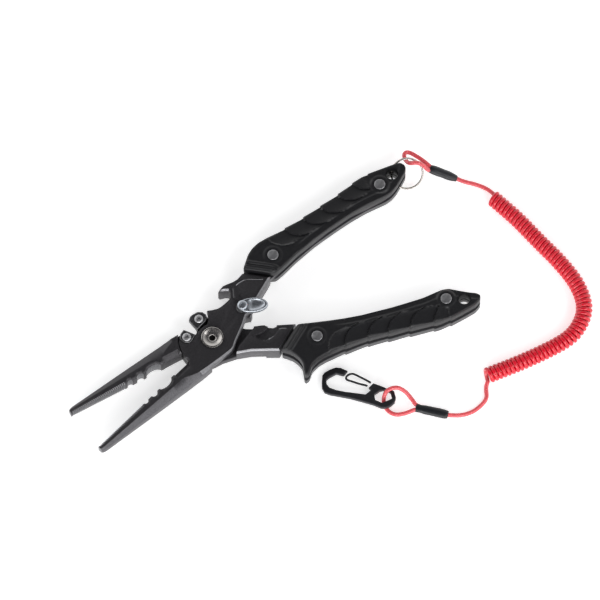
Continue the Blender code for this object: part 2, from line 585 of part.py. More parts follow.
def build_sleeve(name, ends, parent):
    """Heat-shrink sleeve: a flattened tube, open at both ends, round its crimp."""
    start, end = ends
    way = (end - start).normalized()
    across = way.cross(Vector((0, 0, 1))).normalized()
    lift = across.cross(way)
    steps = 20

    def loop(centre, half, height):
        points = []
        for step in range(steps):
            a = 2 * math.pi * step / steps
            points.append(centre + across * half * math.cos(a) + lift * height * math.sin(a))
        return points

    wide, high = SLEEVE_HALF
    outer = [loop(start, wide - 0.5, high - 0.4), loop(start.lerp(end, 0.12), wide, high),
             loop(start.lerp(end, 0.78), wide - 0.3, high - 0.1),
             loop(end, wide - 1.1, high - 0.5)]
    inner = [loop(p, wide - 1.5, high - 0.9) for p in (end, start)]
    rings = outer + inner
    work = bmesh.new()
    layers = [[work.verts.new(p * MM) for p in ring] for ring in rings]
    for low, top in zip(layers, layers[1:] + layers[:1]):
        for index in range(steps):
            after = (index + 1) % steps
            work.faces.new((low[index], low[after], top[after], top[index]))
    solid(name, work, SHRINK_BLACK, parent)
    crimp = [loop(start.lerp(end, t), wide - 1.5 - GAP, high - 0.9 - GAP) for t in (0.2, 0.75)]
    solid(name.replace("sleeve", "crimp"), stack(crimp), SATIN_STEEL, parent)


def build_lanyard(root):
    build_sleeve("lanyard_sleeve_upper", SLEEVE_A, root)
    build_sleeve("lanyard_sleeve_lower", SLEEVE_B, root)
    tube("lanyard_loop_upper", smooth_route(LOOP_A, 2.4), CORD_RADIUS, RED_CORD, root)
    tube("lanyard_cord_upper", smooth_route(CORD_A, 4.0), CORD_RADIUS, RED_CORD, root)
    tube("lanyard_coil", smooth_route(COIL, 9.0), COIL_RADIUS, RED_CORD, root)
    tube("lanyard_cord_lower", smooth_route(CORD_B, 4.0), CORD_RADIUS, RED_CORD, root)
    tube("lanyard_loop_lower", smooth_route(LOOP_B, 2.6), CORD_RADIUS, RED_CORD, root)


def build_ring(parent):
    points = [ring_point(angle) for angle in range(0, 360, 12)]
    tube("split_ring", points, RING_WIRE, POLISHED_STEEL, parent, 2, True)


CARABINER_OUTER = [(-56.6, 103.2), (-58.0, 106.6), (-55.4, 110.8), (-52.4, 112.4), (-48.8, 112.2),
                   (-45.6, 110.8), (-43.8, 108.4), (-42.2, 103.6), (-39.6, 98.2), (-35.2, 89.4),
                   (-31.0, 82.6), (-28.2, 78.2), (-26.8, 74.4), (-27.8, 71.2), (-30.8, 68.2),
                   (-34.0, 65.4), (-36.4, 64.8), (-40.2, 65.8), (-44.2, 67.6), (-46.2, 70.2),
                   (-47.7, 75.0), (-43.7, 75.4), (-42.6, 73.4), (-41.4, 71.0), (-36.0, 69.4),
                   (-33.8, 69.4), (-32.0, 71.4), (-31.4, 74.4), (-33.2, 79.0), (-36.2, 84.0),
                   (-40.2, 89.6), (-43.8, 94.8), (-48.4, 95.2), (-48.2, 93.0), (-52.8, 93.0),
                   (-54.6, 97.4)]
CARABINER_EYE = [(-53.2, 109.4), (-55.6, 105.6), (-54.4, 101.4), (-51.8, 99.6), (-47.6, 98.9),
                 (-45.2, 102.2), (-46.8, 107.1)]
CARABINER_HALF = 1.6
GATE_WIRE = 0.6
GATE_PIVOT = (-50.5, 91.9)
CARABINER_LONG = Vector((-0.322, 0.947, 0.0))
CARABINER_TILT = 3.9
CARABINER_TOE = Vector((-36.4, 64.8, 0.0))


def carabiner_frame():
    """Matrix that lifts the eye end, so that the cord passes under it."""
    across = CARABINER_LONG.cross(Vector((0, 0, 1)))
    spin = Matrix.Rotation(math.radians(CARABINER_TILT), 4, across)
    toe = CARABINER_TOE * MM
    lift = Vector((0, 0, CARABINER_HALF + 0.1)) * MM
    return Matrix.Translation(toe + lift) @ spin @ Matrix.Translation(-toe)


def build_carabiner(body_parent, gate_parent):
    flat = carabiner_frame()
    half = CARABINER_HALF
    outline = prism(CARABINER_OUTER, -half, half, 0.5, 0.5)
    bmesh.ops.transform(outline, matrix=flat, verts=outline.verts)
    body = solid("carabiner_body", outline, ANTHRACITE, body_parent)
    eye = prism(CARABINER_EYE, -5, 5)
    bmesh.ops.transform(eye, matrix=flat, verts=eye.verts)
    cut(body, eye)
    wire = [(-52.1, 91.3), (-51.5, 88.0), (-50.2, 83.0), (-49.0, 79.0), (-47.4, 77.4),
            (-45.2, 76.8), (-43.6, 77.4), (-43.3, 78.9), (-44.4, 81.4), (-46.4, 86.0),
            (-48.6, 90.2), (-49.0, 91.3)]
    points = [flat @ (Vector((x, y, 0.0)) * MM) / MM for x, y in wire]
    tube("carabiner_gate", smooth_route(points, 1.5), GATE_WIRE, SPRING_STEEL, gate_parent)


# ---------------------------------------------------------------- assembly
def moving_frame(name, place, parent=None, turn_by=0.0):
    """Empty on a joint's axis; the pieces under it keep the coordinates they are drawn in."""
    pivot = bpy.data.objects.new(name, None)
    bpy.context.scene.collection.objects.link(pivot)
    pivot.location = Vector(place) * MM
    pivot.rotation_euler.z = math.radians(turn_by)
    pivot.parent = parent
    drawing = bpy.data.objects.new(name + "_drawing", None)
    bpy.context.scene.collection.objects.link(drawing)
    drawing.parent = pivot
    drawing.location = -Vector(place) * MM
    return drawing


def main():
    clear_scene()
    root = moving_frame("lever_a_axis", (0, 0, 0))
    jaw_b = moving_frame("lever_b_axis", (0, 0, 0), None, -JAW_OPENING)
    lock = moving_frame("lock_axis", (*LOCK_PIVOT, 15.5))
    ring = moving_frame("ring_axis", RING_CENTRE)
    eye = moving_frame("carabiner_axis", (-50.5, 104.5, 4.5))
    gate = moving_frame("gate_axis", (*GATE_PIVOT, 3.5), eye)
    build_lever_a(root)
    build_lever_b(jaw_b)
    for side, (low, high) in zip(("lower", "upper"), GRIP_SPLITS):
        build_grip("grip_a_" + side, GRIP_A, low, high, RIVETS_A, HOLE_A, root)
        build_grip("grip_b_" + side, GRIP_B, low, high, RIVETS_B, HOLE_B, jaw_b)
    for place_a, place_b, end in zip(RIVETS_A, RIVETS_B, ("front", "rear")):
        build_rivet("grip_rivet_a_" + end, place_a, root)
        build_rivet("grip_rivet_b_" + end, place_b, jaw_b)
    build_pivot(root)
    build_return_spring(root)
    build_cutter("a", BLADE_A, BLADE_A_SCREW, 9.6, root)
    build_cutter("b", BLADE_B, BLADE_B_SCREW, 5.0, jaw_b)
    build_lock(root, lock)
    build_ring(ring)
    build_lanyard(root)
    build_carabiner(eye, gate)


main()
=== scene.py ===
"""Long-nose fishing pliers with a coiled lanyard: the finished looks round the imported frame.

Lengths in the tables are millimetres in the frame of the CAD; MM turns them into metres.
"""
import math

import bmesh
import bpy
import numpy as np
from mathutils import Matrix, Vector
from mathutils.geometry import delaunay_2d_cdt


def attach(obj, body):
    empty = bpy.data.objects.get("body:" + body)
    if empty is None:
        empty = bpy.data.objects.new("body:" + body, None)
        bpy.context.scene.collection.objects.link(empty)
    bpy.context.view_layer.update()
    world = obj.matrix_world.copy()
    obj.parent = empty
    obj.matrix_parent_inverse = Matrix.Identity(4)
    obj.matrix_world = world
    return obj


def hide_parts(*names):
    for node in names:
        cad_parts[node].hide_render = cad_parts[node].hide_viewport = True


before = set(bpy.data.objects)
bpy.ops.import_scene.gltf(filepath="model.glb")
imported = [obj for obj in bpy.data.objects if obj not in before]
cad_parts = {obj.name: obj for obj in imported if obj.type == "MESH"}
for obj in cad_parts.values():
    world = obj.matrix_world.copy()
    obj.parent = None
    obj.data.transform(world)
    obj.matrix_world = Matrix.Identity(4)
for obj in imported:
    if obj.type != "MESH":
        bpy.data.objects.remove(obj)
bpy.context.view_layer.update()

MM = 0.001
JAW_OPENING = 15.7
GRIP_HIGH = 18.5
LOCK_PIVOT = (-28.6, -1.1)
LOCK_ANGLE, LOCK_OVAL, LOCK_MIDDLE = 139.5, (10.0, 5.1), 6.6
BLADE_A_SCREW, BLADE_B_SCREW = (11.4, -11.8), (1.2, -15.4)
RIVETS_A = ((-67.4, -11.8), (-150.9, 2.7))
RIVETS_B = ((-58.3, 33.4), (-143.1, 52.1))
HOLE_A, HOLE_B, HOLE_RADIUS = (-162.0, 2.9), (-153.4, 57.5), 3.6
CORD_RADIUS, COIL_RADIUS = 1.4, 5.35
TURN_B = Matrix.Rotation(math.radians(-JAW_OPENING), 4, "Z")


def in_scene(name, data):
    made = bpy.data.objects.new(name, data)
    bpy.context.scene.collection.objects.link(made)
    return made


def put(node, values):
    """Constants on a node's own sockets."""
    for name, value in values.items():
        node.inputs[name].default_value = value


# ---------------------------------------------------------------- camera, floor and lights
AZIMUTH, ELEVATION = math.radians(134.5), math.radians(67.5)
MM_PER_PIXEL = 0.644
LENS_PIXELS = 9000.0                    # distance of the camera, in picture elements
SENSOR_WIDTH, PICTURE_WIDTH = 36.0, 600.0
AIM = Vector((-62.4, 17.5, 0.0)) * MM
SKY_LOW, SKY_HIGH = (1.0, 1.0, 1.0, 1.0), (0.05, 0.05, 0.055, 1.0)
# Name, place (m), width and height (m), radiance
LAMPS = (("back", (0.1, -1.3, 1.0), (1.2, 0.7), 1.0), ("side", (-0.45, 1.0, 1.15), (0.9, 0.5), 3.2),
         ("low", (0.75, 0.9, 0.34), (1.3, 0.35), 4.0), ("front_left", (1.0, 0.55, 0.9), (0.3, 0.3), 8.0),
         ("front_right", (0.4, 1.15, 0.8), (0.3, 0.3), 8.0))
FLOOR_SIZE, FLOOR_DROP = 12.0, 0.0002


def placed(name, data, place, turn):
    made = in_scene(name, data)
    made.location = place
    made.rotation_mode = "QUATERNION"
    made.rotation_quaternion = turn
    return made


def build_studio():
    scene = bpy.context.scene
    scene.view_settings.view_transform = "Standard"
    back = Vector((math.sin(AZIMUTH) * math.cos(ELEVATION), -math.cos(AZIMUTH) * math.cos(ELEVATION),
                   math.sin(ELEVATION)))
    camera_data = bpy.data.cameras.new("camera")
    camera_data.lens = LENS_PIXELS * SENSOR_WIDTH / PICTURE_WIDTH
    camera_data.clip_start, camera_data.clip_end = 0.5, 30.0
    scene.camera = placed("camera", camera_data, AIM + back * (LENS_PIXELS * MM_PER_PIXEL * MM),
                          (-back).to_track_quat("-Z", "Y"))

    # The sky is white near the horizon and dark overhead, so that level dark faces stay dark.
    world = bpy.data.worlds.new("studio")
    scene.world = world
    world.use_nodes = True
    nodes, links = world.node_tree.nodes, world.node_tree.links
    sky = nodes["Background"]
    coordinates = nodes.new("ShaderNodeTexCoord")
    split = nodes.new("ShaderNodeSeparateXYZ")
    ramp = nodes.new("ShaderNodeValToRGB")
    links.new(coordinates.outputs["Generated"], split.inputs[0])
    links.new(split.outputs["Z"], ramp.inputs[0])
    links.new(ramp.outputs[0], sky.inputs[0])
    for element, position, colour in zip(ramp.color_ramp.elements, (0.3, 0.82), (SKY_LOW, SKY_HIGH)):
        element.position, element.color = position, colour
    sky.inputs[1].default_value = 1.25

    for name, place, size, radiance in LAMPS:
        data = bpy.data.lights.new(name, "AREA")
        data.shape = "RECTANGLE"
        data.size, data.size_y = size
        data.energy = radiance * math.pi * size[0] * size[1]
        placed(name, data, place, (Vector(place) - AIM).to_track_quat("Z", "Y"))

    bpy.ops.mesh.primitive_plane_add(size=FLOOR_SIZE, location=(0, 0, -FLOOR_DROP))
    floor = bpy.context.object
    floor.name = "floor"
    paper = bpy.data.materials.new("paper")
    paper.use_nodes = True
    put(paper.node_tree.nodes["Principled BSDF"],
        {"Base Color": (0.85, 0.85, 0.85, 1), "Roughness": 0.9, "Specular IOR Level": 0.0,
         "Emission Color": (1, 1, 1, 1), "Emission Strength": 0.56})
    floor.data.materials.append(paper)


build_studio()


# ---------------------------------------------------------------- materials
CLOUD_RANGE = (0.3, 0.7)                # part of the noise that the colour and roughness follow
BUMP_HEIGHT = 0.00005


def surface(name, colour, roughness, metallic=0.0, grain=900.0, tint=0.12, rough_spread=0.08,
            bump=0.1, bump_scale=3500.0, coat=0.0, transmission=0.0, ior=1.5):
    """Principled material with noise in its colour and roughness, and a fine bump."""
    made = bpy.data.materials.new(name + "_look")
    made.use_nodes = True
    nodes, links = made.node_tree.nodes, made.node_tree.links
    shader = nodes["Principled BSDF"]
    put(shader, {"Metallic": metallic, "IOR": ior, "Coat Weight": coat, "Coat Roughness": 0.12,
                 "Transmission Weight": transmission})
    where = nodes.new("ShaderNodeTexCoord")
    cloud = nodes.new("ShaderNodeTexNoise")
    put(cloud, {"Scale": grain, "Detail": 4.0})
    links.new(where.outputs["Object"], cloud.inputs["Vector"])
    ramp = nodes.new("ShaderNodeValToRGB")
    for element, position, change in zip(ramp.color_ramp.elements, CLOUD_RANGE, (-tint, tint)):
        element.position = position
        element.color = (*[min(1, c * (1 + change)) for c in colour], 1)
    links.new(cloud.outputs["Fac"], ramp.inputs[0])
    links.new(ramp.outputs[0], shader.inputs["Base Color"])
    spread = nodes.new("ShaderNodeMapRange")
    put(spread, {"From Min": CLOUD_RANGE[0], "From Max": CLOUD_RANGE[1],
                 "To Min": max(0.02, roughness - rough_spread),
                 "To Max": min(1.0, roughness + rough_spread)})
    links.new(cloud.outputs["Fac"], spread.inputs["Value"])
    links.new(spread.outputs[0], shader.inputs["Roughness"])
    fine = nodes.new("ShaderNodeTexNoise")
    put(fine, {"Scale": bump_scale, "Detail": 2.0})
    links.new(where.outputs["Object"], fine.inputs["Vector"])
    relief = nodes.new("ShaderNodeBump")
    put(relief, {"Strength": bump, "Distance": BUMP_HEIGHT})
    links.new(fine.outputs["Fac"], relief.inputs["Height"])
    links.new(relief.outputs[0], shader.inputs["Normal"])
    return made


COATED = surface("coated_steel", (0.05, 0.048, 0.052), 0.4, 0.6, tint=0.14, bump=0.25)
# Lighter steel on chamfers facing the lamps and on one flank of each tooth: partly worn edge, partly painted
# highlight.
WORN_AND_HIGHLIGHT_EDGE_STEEL = surface("worn_and_highlight_edge", (0.21, 0.21, 0.22), 0.36, 0.9, tint=0.2, bump=0.15)
NOTCH_STEEL = surface("notch_steel", (0.17, 0.17, 0.18), 0.3, 0.95, tint=0.15, bump=0.15)
# Lighter coat on the slopes and walls facing the lamps: painted light.
PAINTED_LIGHT_SLOPE = surface("painted_light_jaw_slope", (0.1, 0.098, 0.105), 0.42, 0.7, tint=0.2, bump=0.25)
TURNED = surface("turned_steel", (0.47, 0.45, 0.43), 0.27, 1.0, tint=0.06, bump=0.06)
# Near black inside the pivot screw's socket: painted shade.
PAINTED_SOCKET_SHADE = surface("socket_shade", (0.02, 0.018, 0.017), 0.5, 0.5)
RIVET_STEEL = surface("rivet_steel", (0.42, 0.42, 0.43), 0.42, 1.0, tint=0.1, bump=0.35)
CHROME = surface("polished_steel", (0.47, 0.5, 0.54), 0.34, 1.0, tint=0.03, bump=0.03)
RING_STEEL = surface("ring_steel", (0.45, 0.43, 0.4), 0.24, 1.0, tint=0.08, bump=0.08)
SPRING = surface("spring_steel", (0.42, 0.41, 0.4), 0.3, 1.0, bump=0.1)
TUNGSTEN = surface("tungsten", (0.14, 0.14, 0.145), 0.33, 0.95, tint=0.15, bump=0.2)
BRONZE = surface("bronze", (0.5, 0.33, 0.15), 0.4, 1.0)
RUBBER_GRAIN = {"grain": 1500.0, "tint": 0.2, "bump": 0.35, "bump_scale": 5000.0, "ior": 1.46}
RUBBER = surface("grip_rubber", (0.009, 0.009, 0.0105), 0.42, **RUBBER_GRAIN)
# The lower scales, seen mostly as the grips' side band, are lighter than the upper ones: painted light on the
# side.
RUBBER_LOWER_PAINTED_LIGHT = surface("grip_rubber_lower", (0.045, 0.045, 0.048), 0.42, **RUBBER_GRAIN)
CORD_LOOK = surface("cord", (0.9, 0.13, 0.15), 0.25, 0.0, tint=0.06, rough_spread=0.04,
                    bump=0.05, coat=0.3, transmission=0.3)
# The coiled turns of the one cord take a darker, deeper red: painted shade among the turns.
COIL_PAINTED_SHADE_LOOK = surface("coil", (0.7, 0.006, 0.024), 0.2, 0.0, tint=0.08, rough_spread=0.04,
                    bump=0.05, coat=0.3)
SHRINK = surface("shrink", (0.008, 0.009, 0.012), 0.38, 0.0, tint=0.2, bump=0.3,
                 bump_scale=1800.0)
ANTHRACITE = surface("anthracite", (0.03, 0.03, 0.034), 0.36, 0.5, tint=0.12, bump=0.15)


# ---------------------------------------------------------------- helpers
def link(name, data, looks, body, stands_for, place=None):
    """Visible piece riding on a body; a place is baked into its mesh, apart from the level shift."""
    made = in_scene(name, data)
    for look in looks:
        data.materials.append(look)
    if place is not None:
        spot = Vector((place.translation.x, place.translation.y, 0.0))
        data.transform(Matrix.Translation(-spot) @ place)
        made.location = spot
    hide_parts(*stands_for)
    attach(made, body)
    return made


def shaded(mesh, angle):
    """Smooth shading with edges sharper than the angle left crisp."""
    mesh.shade_smooth()
    mesh.set_sharp_from_angle(angle=math.radians(angle))
    return mesh


def as_mesh(name, work, smooth_angle=35.0):
    bmesh.ops.recalc_face_normals(work, faces=work.faces)
    mesh = bpy.data.meshes.new(name)
    work.to_mesh(mesh)
    work.free()
    return shaded(mesh, smooth_angle)


def arc(centre, radius, start, end, steps):
    points = []
    for step in range(steps + 1):
        angle = math.radians(start + (end - start) * step / steps)
        points.append((centre[0] + radius * math.cos(angle), centre[1] + radius * math.sin(angle)))
    return points


def inset(points, amount, far=None):
    """Outline moved inwards; edges that look towards -Y move by the amount far."""
    area = sum(a[0] * b[1] - b[0] * a[1] for a, b in zip(points, points[1:] + points[:1]))
    side = 1.0 if area > 0 else -1.0
    moved = []
    for index, point in enumerate(points):
        before = Vector(point) - Vector(points[index - 1])
        after = Vector(points[(index + 1) % len(points)]) - Vector(point)
        normal_a = Vector((-before.y, before.x)).normalized()
        normal_b = Vector((-after.y, after.x)).normalized()
        middle = (normal_a + normal_b).normalized()
        stretch = min(1.6, 1.0 / max(0.3, middle.dot(normal_a)))
        step = amount if far is None or middle.y * side < 0.1 else far
        moved.append(tuple(Vector(point) + middle * side * step * stretch))
    return moved


def stack(rings):
    """Closed body through rings of equal count."""
    work = bmesh.new()
    layers = [[work.verts.new(Vector(p) * MM) for p in ring] for ring in rings]
    count = len(layers[0])
    for low, high in zip(layers, layers[1:]):
        for index in range(count):
            following = (index + 1) % count
            work.faces.new((low[index], low[following], high[following], high[index]))
    work.faces.new(layers[0])
    work.faces.new(layers[-1])
    return work


def at_height(points, height):
    return [(x, y, height) for x, y in points]


def prism(points, low, high, edge_low=0.0, edge_high=0.0, far=None):
    """Outline raised between two heights, with chamfers at the ends."""
    rings = []
    if edge_low:
        rings.append(at_height(inset(points, edge_low), low))
    rings.append(at_height(points, low + edge_low))
    rings.append(at_height(points, high - edge_high))
    if edge_high:
        rings.append(at_height(inset(points, edge_high, far), high))
    return stack(rings)


def turned(profile, centre=(0.0, 0.0), steps=72):
    """Turned body; a profile that doesn't start on the axis is a ring."""
    work = bmesh.new()
    rings = []
    for radius, height in profile:
        if radius == 0.0:
            rings.append([work.verts.new(Vector((centre[0], centre[1], height)) * MM)])
            continue
        circle = arc(centre, radius, 0, 360, steps)[:-1]
        rings.append([work.verts.new(Vector((x, y, height)) * MM) for x, y in circle])
    closed = profile[0][0] != 0.0
    pairs = list(zip(rings, rings[1:])) + ([(rings[-1], rings[0])] if closed else [])
    for low, high in pairs:
        for index in range(steps):
            after = (index + 1) % steps
            corners = [low[index % len(low)], low[after % len(low)],
                       high[after % len(high)], high[index % len(high)]]
            unique = list(dict.fromkeys(corners))
            if len(unique) > 2:
                work.faces.new(unique)
    return work


def cylinder(centre, radius, low, high, steps=48):
    return turned(((0.0, low), (radius, low), (radius, high), (0.0, high)), centre, steps)


CURVE_STEPS = 24


def smooth_route(points, spacing):
    """Evenly spaced places on a smooth curve through the points."""
    knots = [Vector(p) for p in points]
    knots = [knots[0] * 2 - knots[1]] + knots + [knots[-1] * 2 - knots[-2]]
    dense = []
    for index in range(1, len(knots) - 2):
        p0, p1, p2, p3 = knots[index - 1:index + 3]
        for step in range(CURVE_STEPS):
            t = step / CURVE_STEPS
            dense.append(0.5 * ((2 * p1) + (p2 - p0) * t + (2 * p0 - 5 * p1 + 4 * p2 - p3) * t * t
                                + (3 * p1 - p0 - 3 * p2 + p3) * t ** 3))
    dense.append(knots[-2])
    lengths = [0.0]
    for a, b in zip(dense, dense[1:]):
        lengths.append(lengths[-1] + (b - a).length)
    count = max(2, round(lengths[-1] / spacing))
    route, cursor = [], 0
    for step in range(count + 1):
        target = lengths[-1] * step / count
        while cursor < len(dense) - 2 and lengths[cursor + 1] < target:
            cursor += 1
        span = lengths[cursor + 1] - lengths[cursor]
        route.append(dense[cursor].lerp(dense[cursor + 1], (target - lengths[cursor]) / span))
    return route


def tube_mesh(points, radius, sides, closed=False, slots=None):
    """Round bar through the points, with frames carried along so that it never twists."""
    points = [Vector(p) for p in points]
    count = len(points)
    work = bmesh.new()
    rings, normal = [], None
    for index, point in enumerate(points):
        if closed:
            way = (points[(index + 1) % count] - points[index - 1]).normalized()
        else:
            way = (points[min(index + 1, count - 1)] - points[max(index - 1, 0)]).normalized()
        if normal is None:
            normal = way.orthogonal().normalized()
        normal = (normal - way * normal.dot(way)).normalized()
        other = way.cross(normal)
        ring = []
        for side in range(sides):
            a = 2 * math.pi * side / sides
            ring.append(work.verts.new((point + normal * radius * math.cos(a)
                                        + other * radius * math.sin(a)) * MM))
        rings.append(ring)
    for index in range(count if closed else count - 1):
        low, high = rings[index], rings[(index + 1) % count]
        for side in range(sides):
            after = (side + 1) % sides
            face = work.faces.new((low[side], low[after], high[after], high[side]))
            if slots:
                face.material_index = slots[index]
    if not closed:
        work.faces.new(rings[0])
        work.faces.new(rings[-1])
    return work


def cut(*tools):
    return [("DIFFERENCE", tool) for tool in tools]


def join(*tools):
    return [("UNION", tool) for tool in tools]


def evaluated(target):
    """Mesh of an object with its modifiers applied; the object goes."""
    graph = bpy.context.evaluated_depsgraph_get()
    graph.update()
    mesh = bpy.data.meshes.new_from_object(target.evaluated_get(graph))
    bpy.data.objects.remove(target, do_unlink=True)
    mesh.materials.clear()
    return mesh


def baked(name, work, tools):
    """Mesh of a bmesh with Boolean tools applied, each an (operation, bmesh) pair."""
    target = in_scene(name, as_mesh(name, work))
    cutters = []
    for operation, tool in tools:
        cutter = in_scene(name + "_tool", as_mesh(name + "_tool", tool))
        cutters.append(cutter)
        modifier = target.modifiers.new("shape", "BOOLEAN")
        modifier.operation = operation
        modifier.object = cutter
    mesh = evaluated(target)
    for cutter in cutters:
        bpy.data.objects.remove(cutter, do_unlink=True)
    return mesh


WELD, BEVEL_ANGLE = 2e-6, 28.0


def softened(name, mesh, width=0.25, segments=2):
    """The mesh with its edges rounded by a narrow bevel."""
    work = bmesh.new()
    work.from_mesh(mesh)
    bmesh.ops.remove_doubles(work, verts=work.verts, dist=WELD)
    bmesh.ops.dissolve_degenerate(work, edges=work.edges, dist=WELD)
    work.to_mesh(mesh)
    work.free()
    target = in_scene(name, mesh)
    modifier = target.modifiers.new("edges", "BEVEL")
    modifier.width = width * MM
    modifier.segments = segments
    modifier.limit_method = "ANGLE"
    modifier.angle_limit = math.radians(BEVEL_ANGLE)
    modifier.harden_normals = False
    return shaded(evaluated(target), 40)


LEVER_LOOKS = (COATED, WORN_AND_HIGHLIGHT_EDGE_STEEL, NOTCH_STEEL, PAINTED_LIGHT_SLOPE)
COATED_SLOT, WORN_AND_HIGHLIGHT_EDGE_SLOT, NOTCH_SLOT, PAINTED_LIGHT_SLOPE_SLOT = range(4)


def worn_and_painted_light_faces(mesh, start, end, side):
    """Slots: bare steel on the notch walls; a lighter steel on chamfers facing the lamps between two
    stations, partly worn edge and partly painted highlight; a lighter coat, painted light, on the slopes
    facing the lamps.
    """
    for polygon in mesh.polygons:
        x, y = polygon.center.x / MM, polygon.center.y / MM * side
        normal, slot = polygon.normal, COATED_SLOT
        not_level = abs(normal.z) < 0.94
        towards_light = normal.y > 0.2 and not_level
        # Chamfers facing the lamps: partly worn edge, partly painted highlight.
        if towards_light and 0.35 < normal.z and start < x < end:
            slot = WORN_AND_HIGHLIGHT_EDGE_SLOT
        # Walls and slopes facing the lamps get the lighter coat: painted light.
        elif towards_light and (start < x < end or side > 0 and x >= end):
            slot = PAINTED_LIGHT_SLOPE_SLOT
        # One flank of each tooth gets the lighter edge steel: painted highlight.
        elif x > TEETH_START and y < FACE + 2.4 and not_level and normal.x > 0.25:
            slot = WORN_AND_HIGHLIGHT_EDGE_SLOT
        for centre, half, depth in NOTCHES:
            if abs(x - centre) < half and FACE + 0.35 < y < FACE + depth + 0.2 and abs(normal.z) < 0.3:
                slot = NOTCH_SLOT
        polygon.material_index = slot


# ---------------------------------------------------------------- jaws and levers
TEETH_START, TEETH_PITCH, TEETH_DEPTH, TEETH_COUNT = 63.6, 1.3, 0.62, 30
NOTCHES = ((43.0, 5.4, 2.6), (52.8, 2.5, 1.8), (60.4, 1.9, 1.3))
RECESS_START, RECESS_END, FACE, JAW_LENGTH, JAW_ROOT = 23.2, 34.8, 0.15, 103.6, 14.0
FULL_LOW, FULL_HIGH, PLATE_SPLIT_LOW, PLATE_SPLIT_HIGH, NECK_LOW = 3.5, 14.5, 8.9, 9.2, 1.0
PLATE_RADIUS, SHOULDER_RADIUS, EDGE, FAR_EDGE, GAP = 21.8, 22.2, 1.2, 0.3, 0.3
TANG_LOW, TANG_HIGH = 7.2, 11.3
OUTER = ((14.0, 13.8), (22.0, 13.3), (60.0, 9.2), (100.5, 4.6), (102.6, 4.0), (103.6, 3.2))
TOP_OUTER = ((14.0, 12.0), (24.0, 10.4), (32.5, 6.5), (100.5, 2.9), (103.6, 2.4))
THINNING = ((35.0, 0.0), (105.0, 2.5))
INNER_CHAMFER = ((36.0, 1.7), (105.0, 0.9))


def between(x, table):
    """Value at a station of a table, held beyond its ends."""
    if x <= table[0][0]:
        return table[0][1]
    for (x0, v0), (x1, v1) in zip(table, table[1:]):
        if x <= x1:
            return v0 + (v1 - v0) * (x - x0) / (x1 - x0)
    return table[-1][1]


def jaw_stations():
    """Stations along the jaw, each with the depth of its gripping face."""
    stations = [(JAW_ROOT, FACE), (22.0, FACE), (RECESS_START, FACE), (RECESS_END, FACE),
                (RECESS_END + 0.3, FACE)]
    for step in range(16):
        x = RECESS_START + 0.2 + step * 0.72
        stations += [(x, FACE), (x + 0.36, FACE + 0.22)]
    for centre, half, depth in NOTCHES:
        steps = 24 if half > 4 else 14
        for step in range(steps + 1):
            angle = math.pi * step / steps
            tooth = 0.3 if half > 4 and step % 2 and 0 < step < steps else 0.0
            stations.append((centre - half * math.cos(angle),
                             FACE + depth * math.sin(angle) - tooth))
    for tooth in range(TEETH_COUNT):
        start = TEETH_START + tooth * TEETH_PITCH
        stations += [(start, FACE), (start + TEETH_PITCH * 0.3, FACE),
                     (start + TEETH_PITCH * 0.65, FACE + TEETH_DEPTH)]
    stations += [(TEETH_START + TEETH_COUNT * TEETH_PITCH, FACE), (JAW_LENGTH, FACE)]
    return sorted(set(stations))


def jaw_section(x, depth, side):
    """Outline across the jaw at a station; the recess has a deeper inner chamfer."""
    outer, top_outer = between(x, OUTER), between(x, TOP_OUTER)
    thin = between(x, THINNING)
    low, high = FULL_LOW + thin, FULL_HIGH - thin
    drop = min(3.0, 1.2 + 0.3 * (outer - top_outer))
    inner = between(x, INNER_CHAMFER)
    fall = inner * 0.6
    if RECESS_START <= x <= RECESS_END:
        inner, fall = 4.0, 3.4
    inner_top = min(depth + inner, top_outer - 0.6)
    section = [(depth, low + 0.4), (depth + 0.4, low), (outer - 0.7, low), (outer, low + 0.7),
               (outer, high - drop), (top_outer, high), (inner_top, high), (depth, high - fall)]
    return [(x, side * y, z) for y, z in section]


def jaw_loft(side):
    return stack([jaw_section(x, depth, side) for x, depth in jaw_stations()])


HOOK_A = [(-40.0, -17.4), (-37.0, -18.1), (-33.0, -19.7), (-30.4, -20.6), (-27.4, -20.4),
          (-25.2, -19.7), (-27.0, -18.6), (-29.2, -17.4), (-30.6, -15.8), (-30.6, -14.0),
          (-29.4, -12.4), (-27.8, -11.5), (-26.0, -11.2), (-22.6, -11.2), (-19.0, -11.5),
          (-17.0, -12.0), (-14.0, -13.7), (-11.0, -15.9)]
EAR_A = [(5.6, -9.4), (6.5, -12.0), (8.8, -17.4), (12.4, -16.6), (15.2, -14.8), (17.6, -13.0)]
BODY_A = (HOOK_A + [(-8.9, -12.5), (-6.8, -10.6)] + arc((0, 0), 10.0, 246, 298, 12) + EAR_A
          + arc((0, 0), PLATE_RADIUS, -36, 2, 16) + [(24.0, 3.0), (24.0, 11.0)]
          + [(15.0, 13.0), (5.0, 14.3), (-3.0, 15.0), (-5.6, 14.5), (-9.0, 12.6), (-20.5, 7.8),
             (-26.5, 4.6), (-30.2, 4.2), (-31.2, 3.6), (-41.0, 1.0), (-53.0, -2.2),
             (-56.6, -3.4), (-45.4, -17.8)])
TANG_A = [(-48.0, -15.6), (-56.0, -21.5), (-64.0, -23.2), (-74.0, -22.0), (-100.0, -15.6),
          (-126.0, -11.2), (-148.0, -8.2), (-162.0, -2.6), (-169.8, 1.8), (-170.8, 4.4),
          (-168.6, 7.0), (-158.0, 10.0), (-152.0, 10.8), (-146.0, 9.6), (-124.0, 2.8),
          (-104.0, -0.4), (-80.0, -2.4), (-62.0, -2.4), (-50.0, -3.6)]
EAR_B = [(-5.2, -13.0), (-5.4, -16.4), (-3.6, -19.2), (-0.6, -21.0), (3.0, -21.0), (5.3, -20.4),
         (4.9, -17.0), (4.4, -13.4), (5.3, -10.4)]
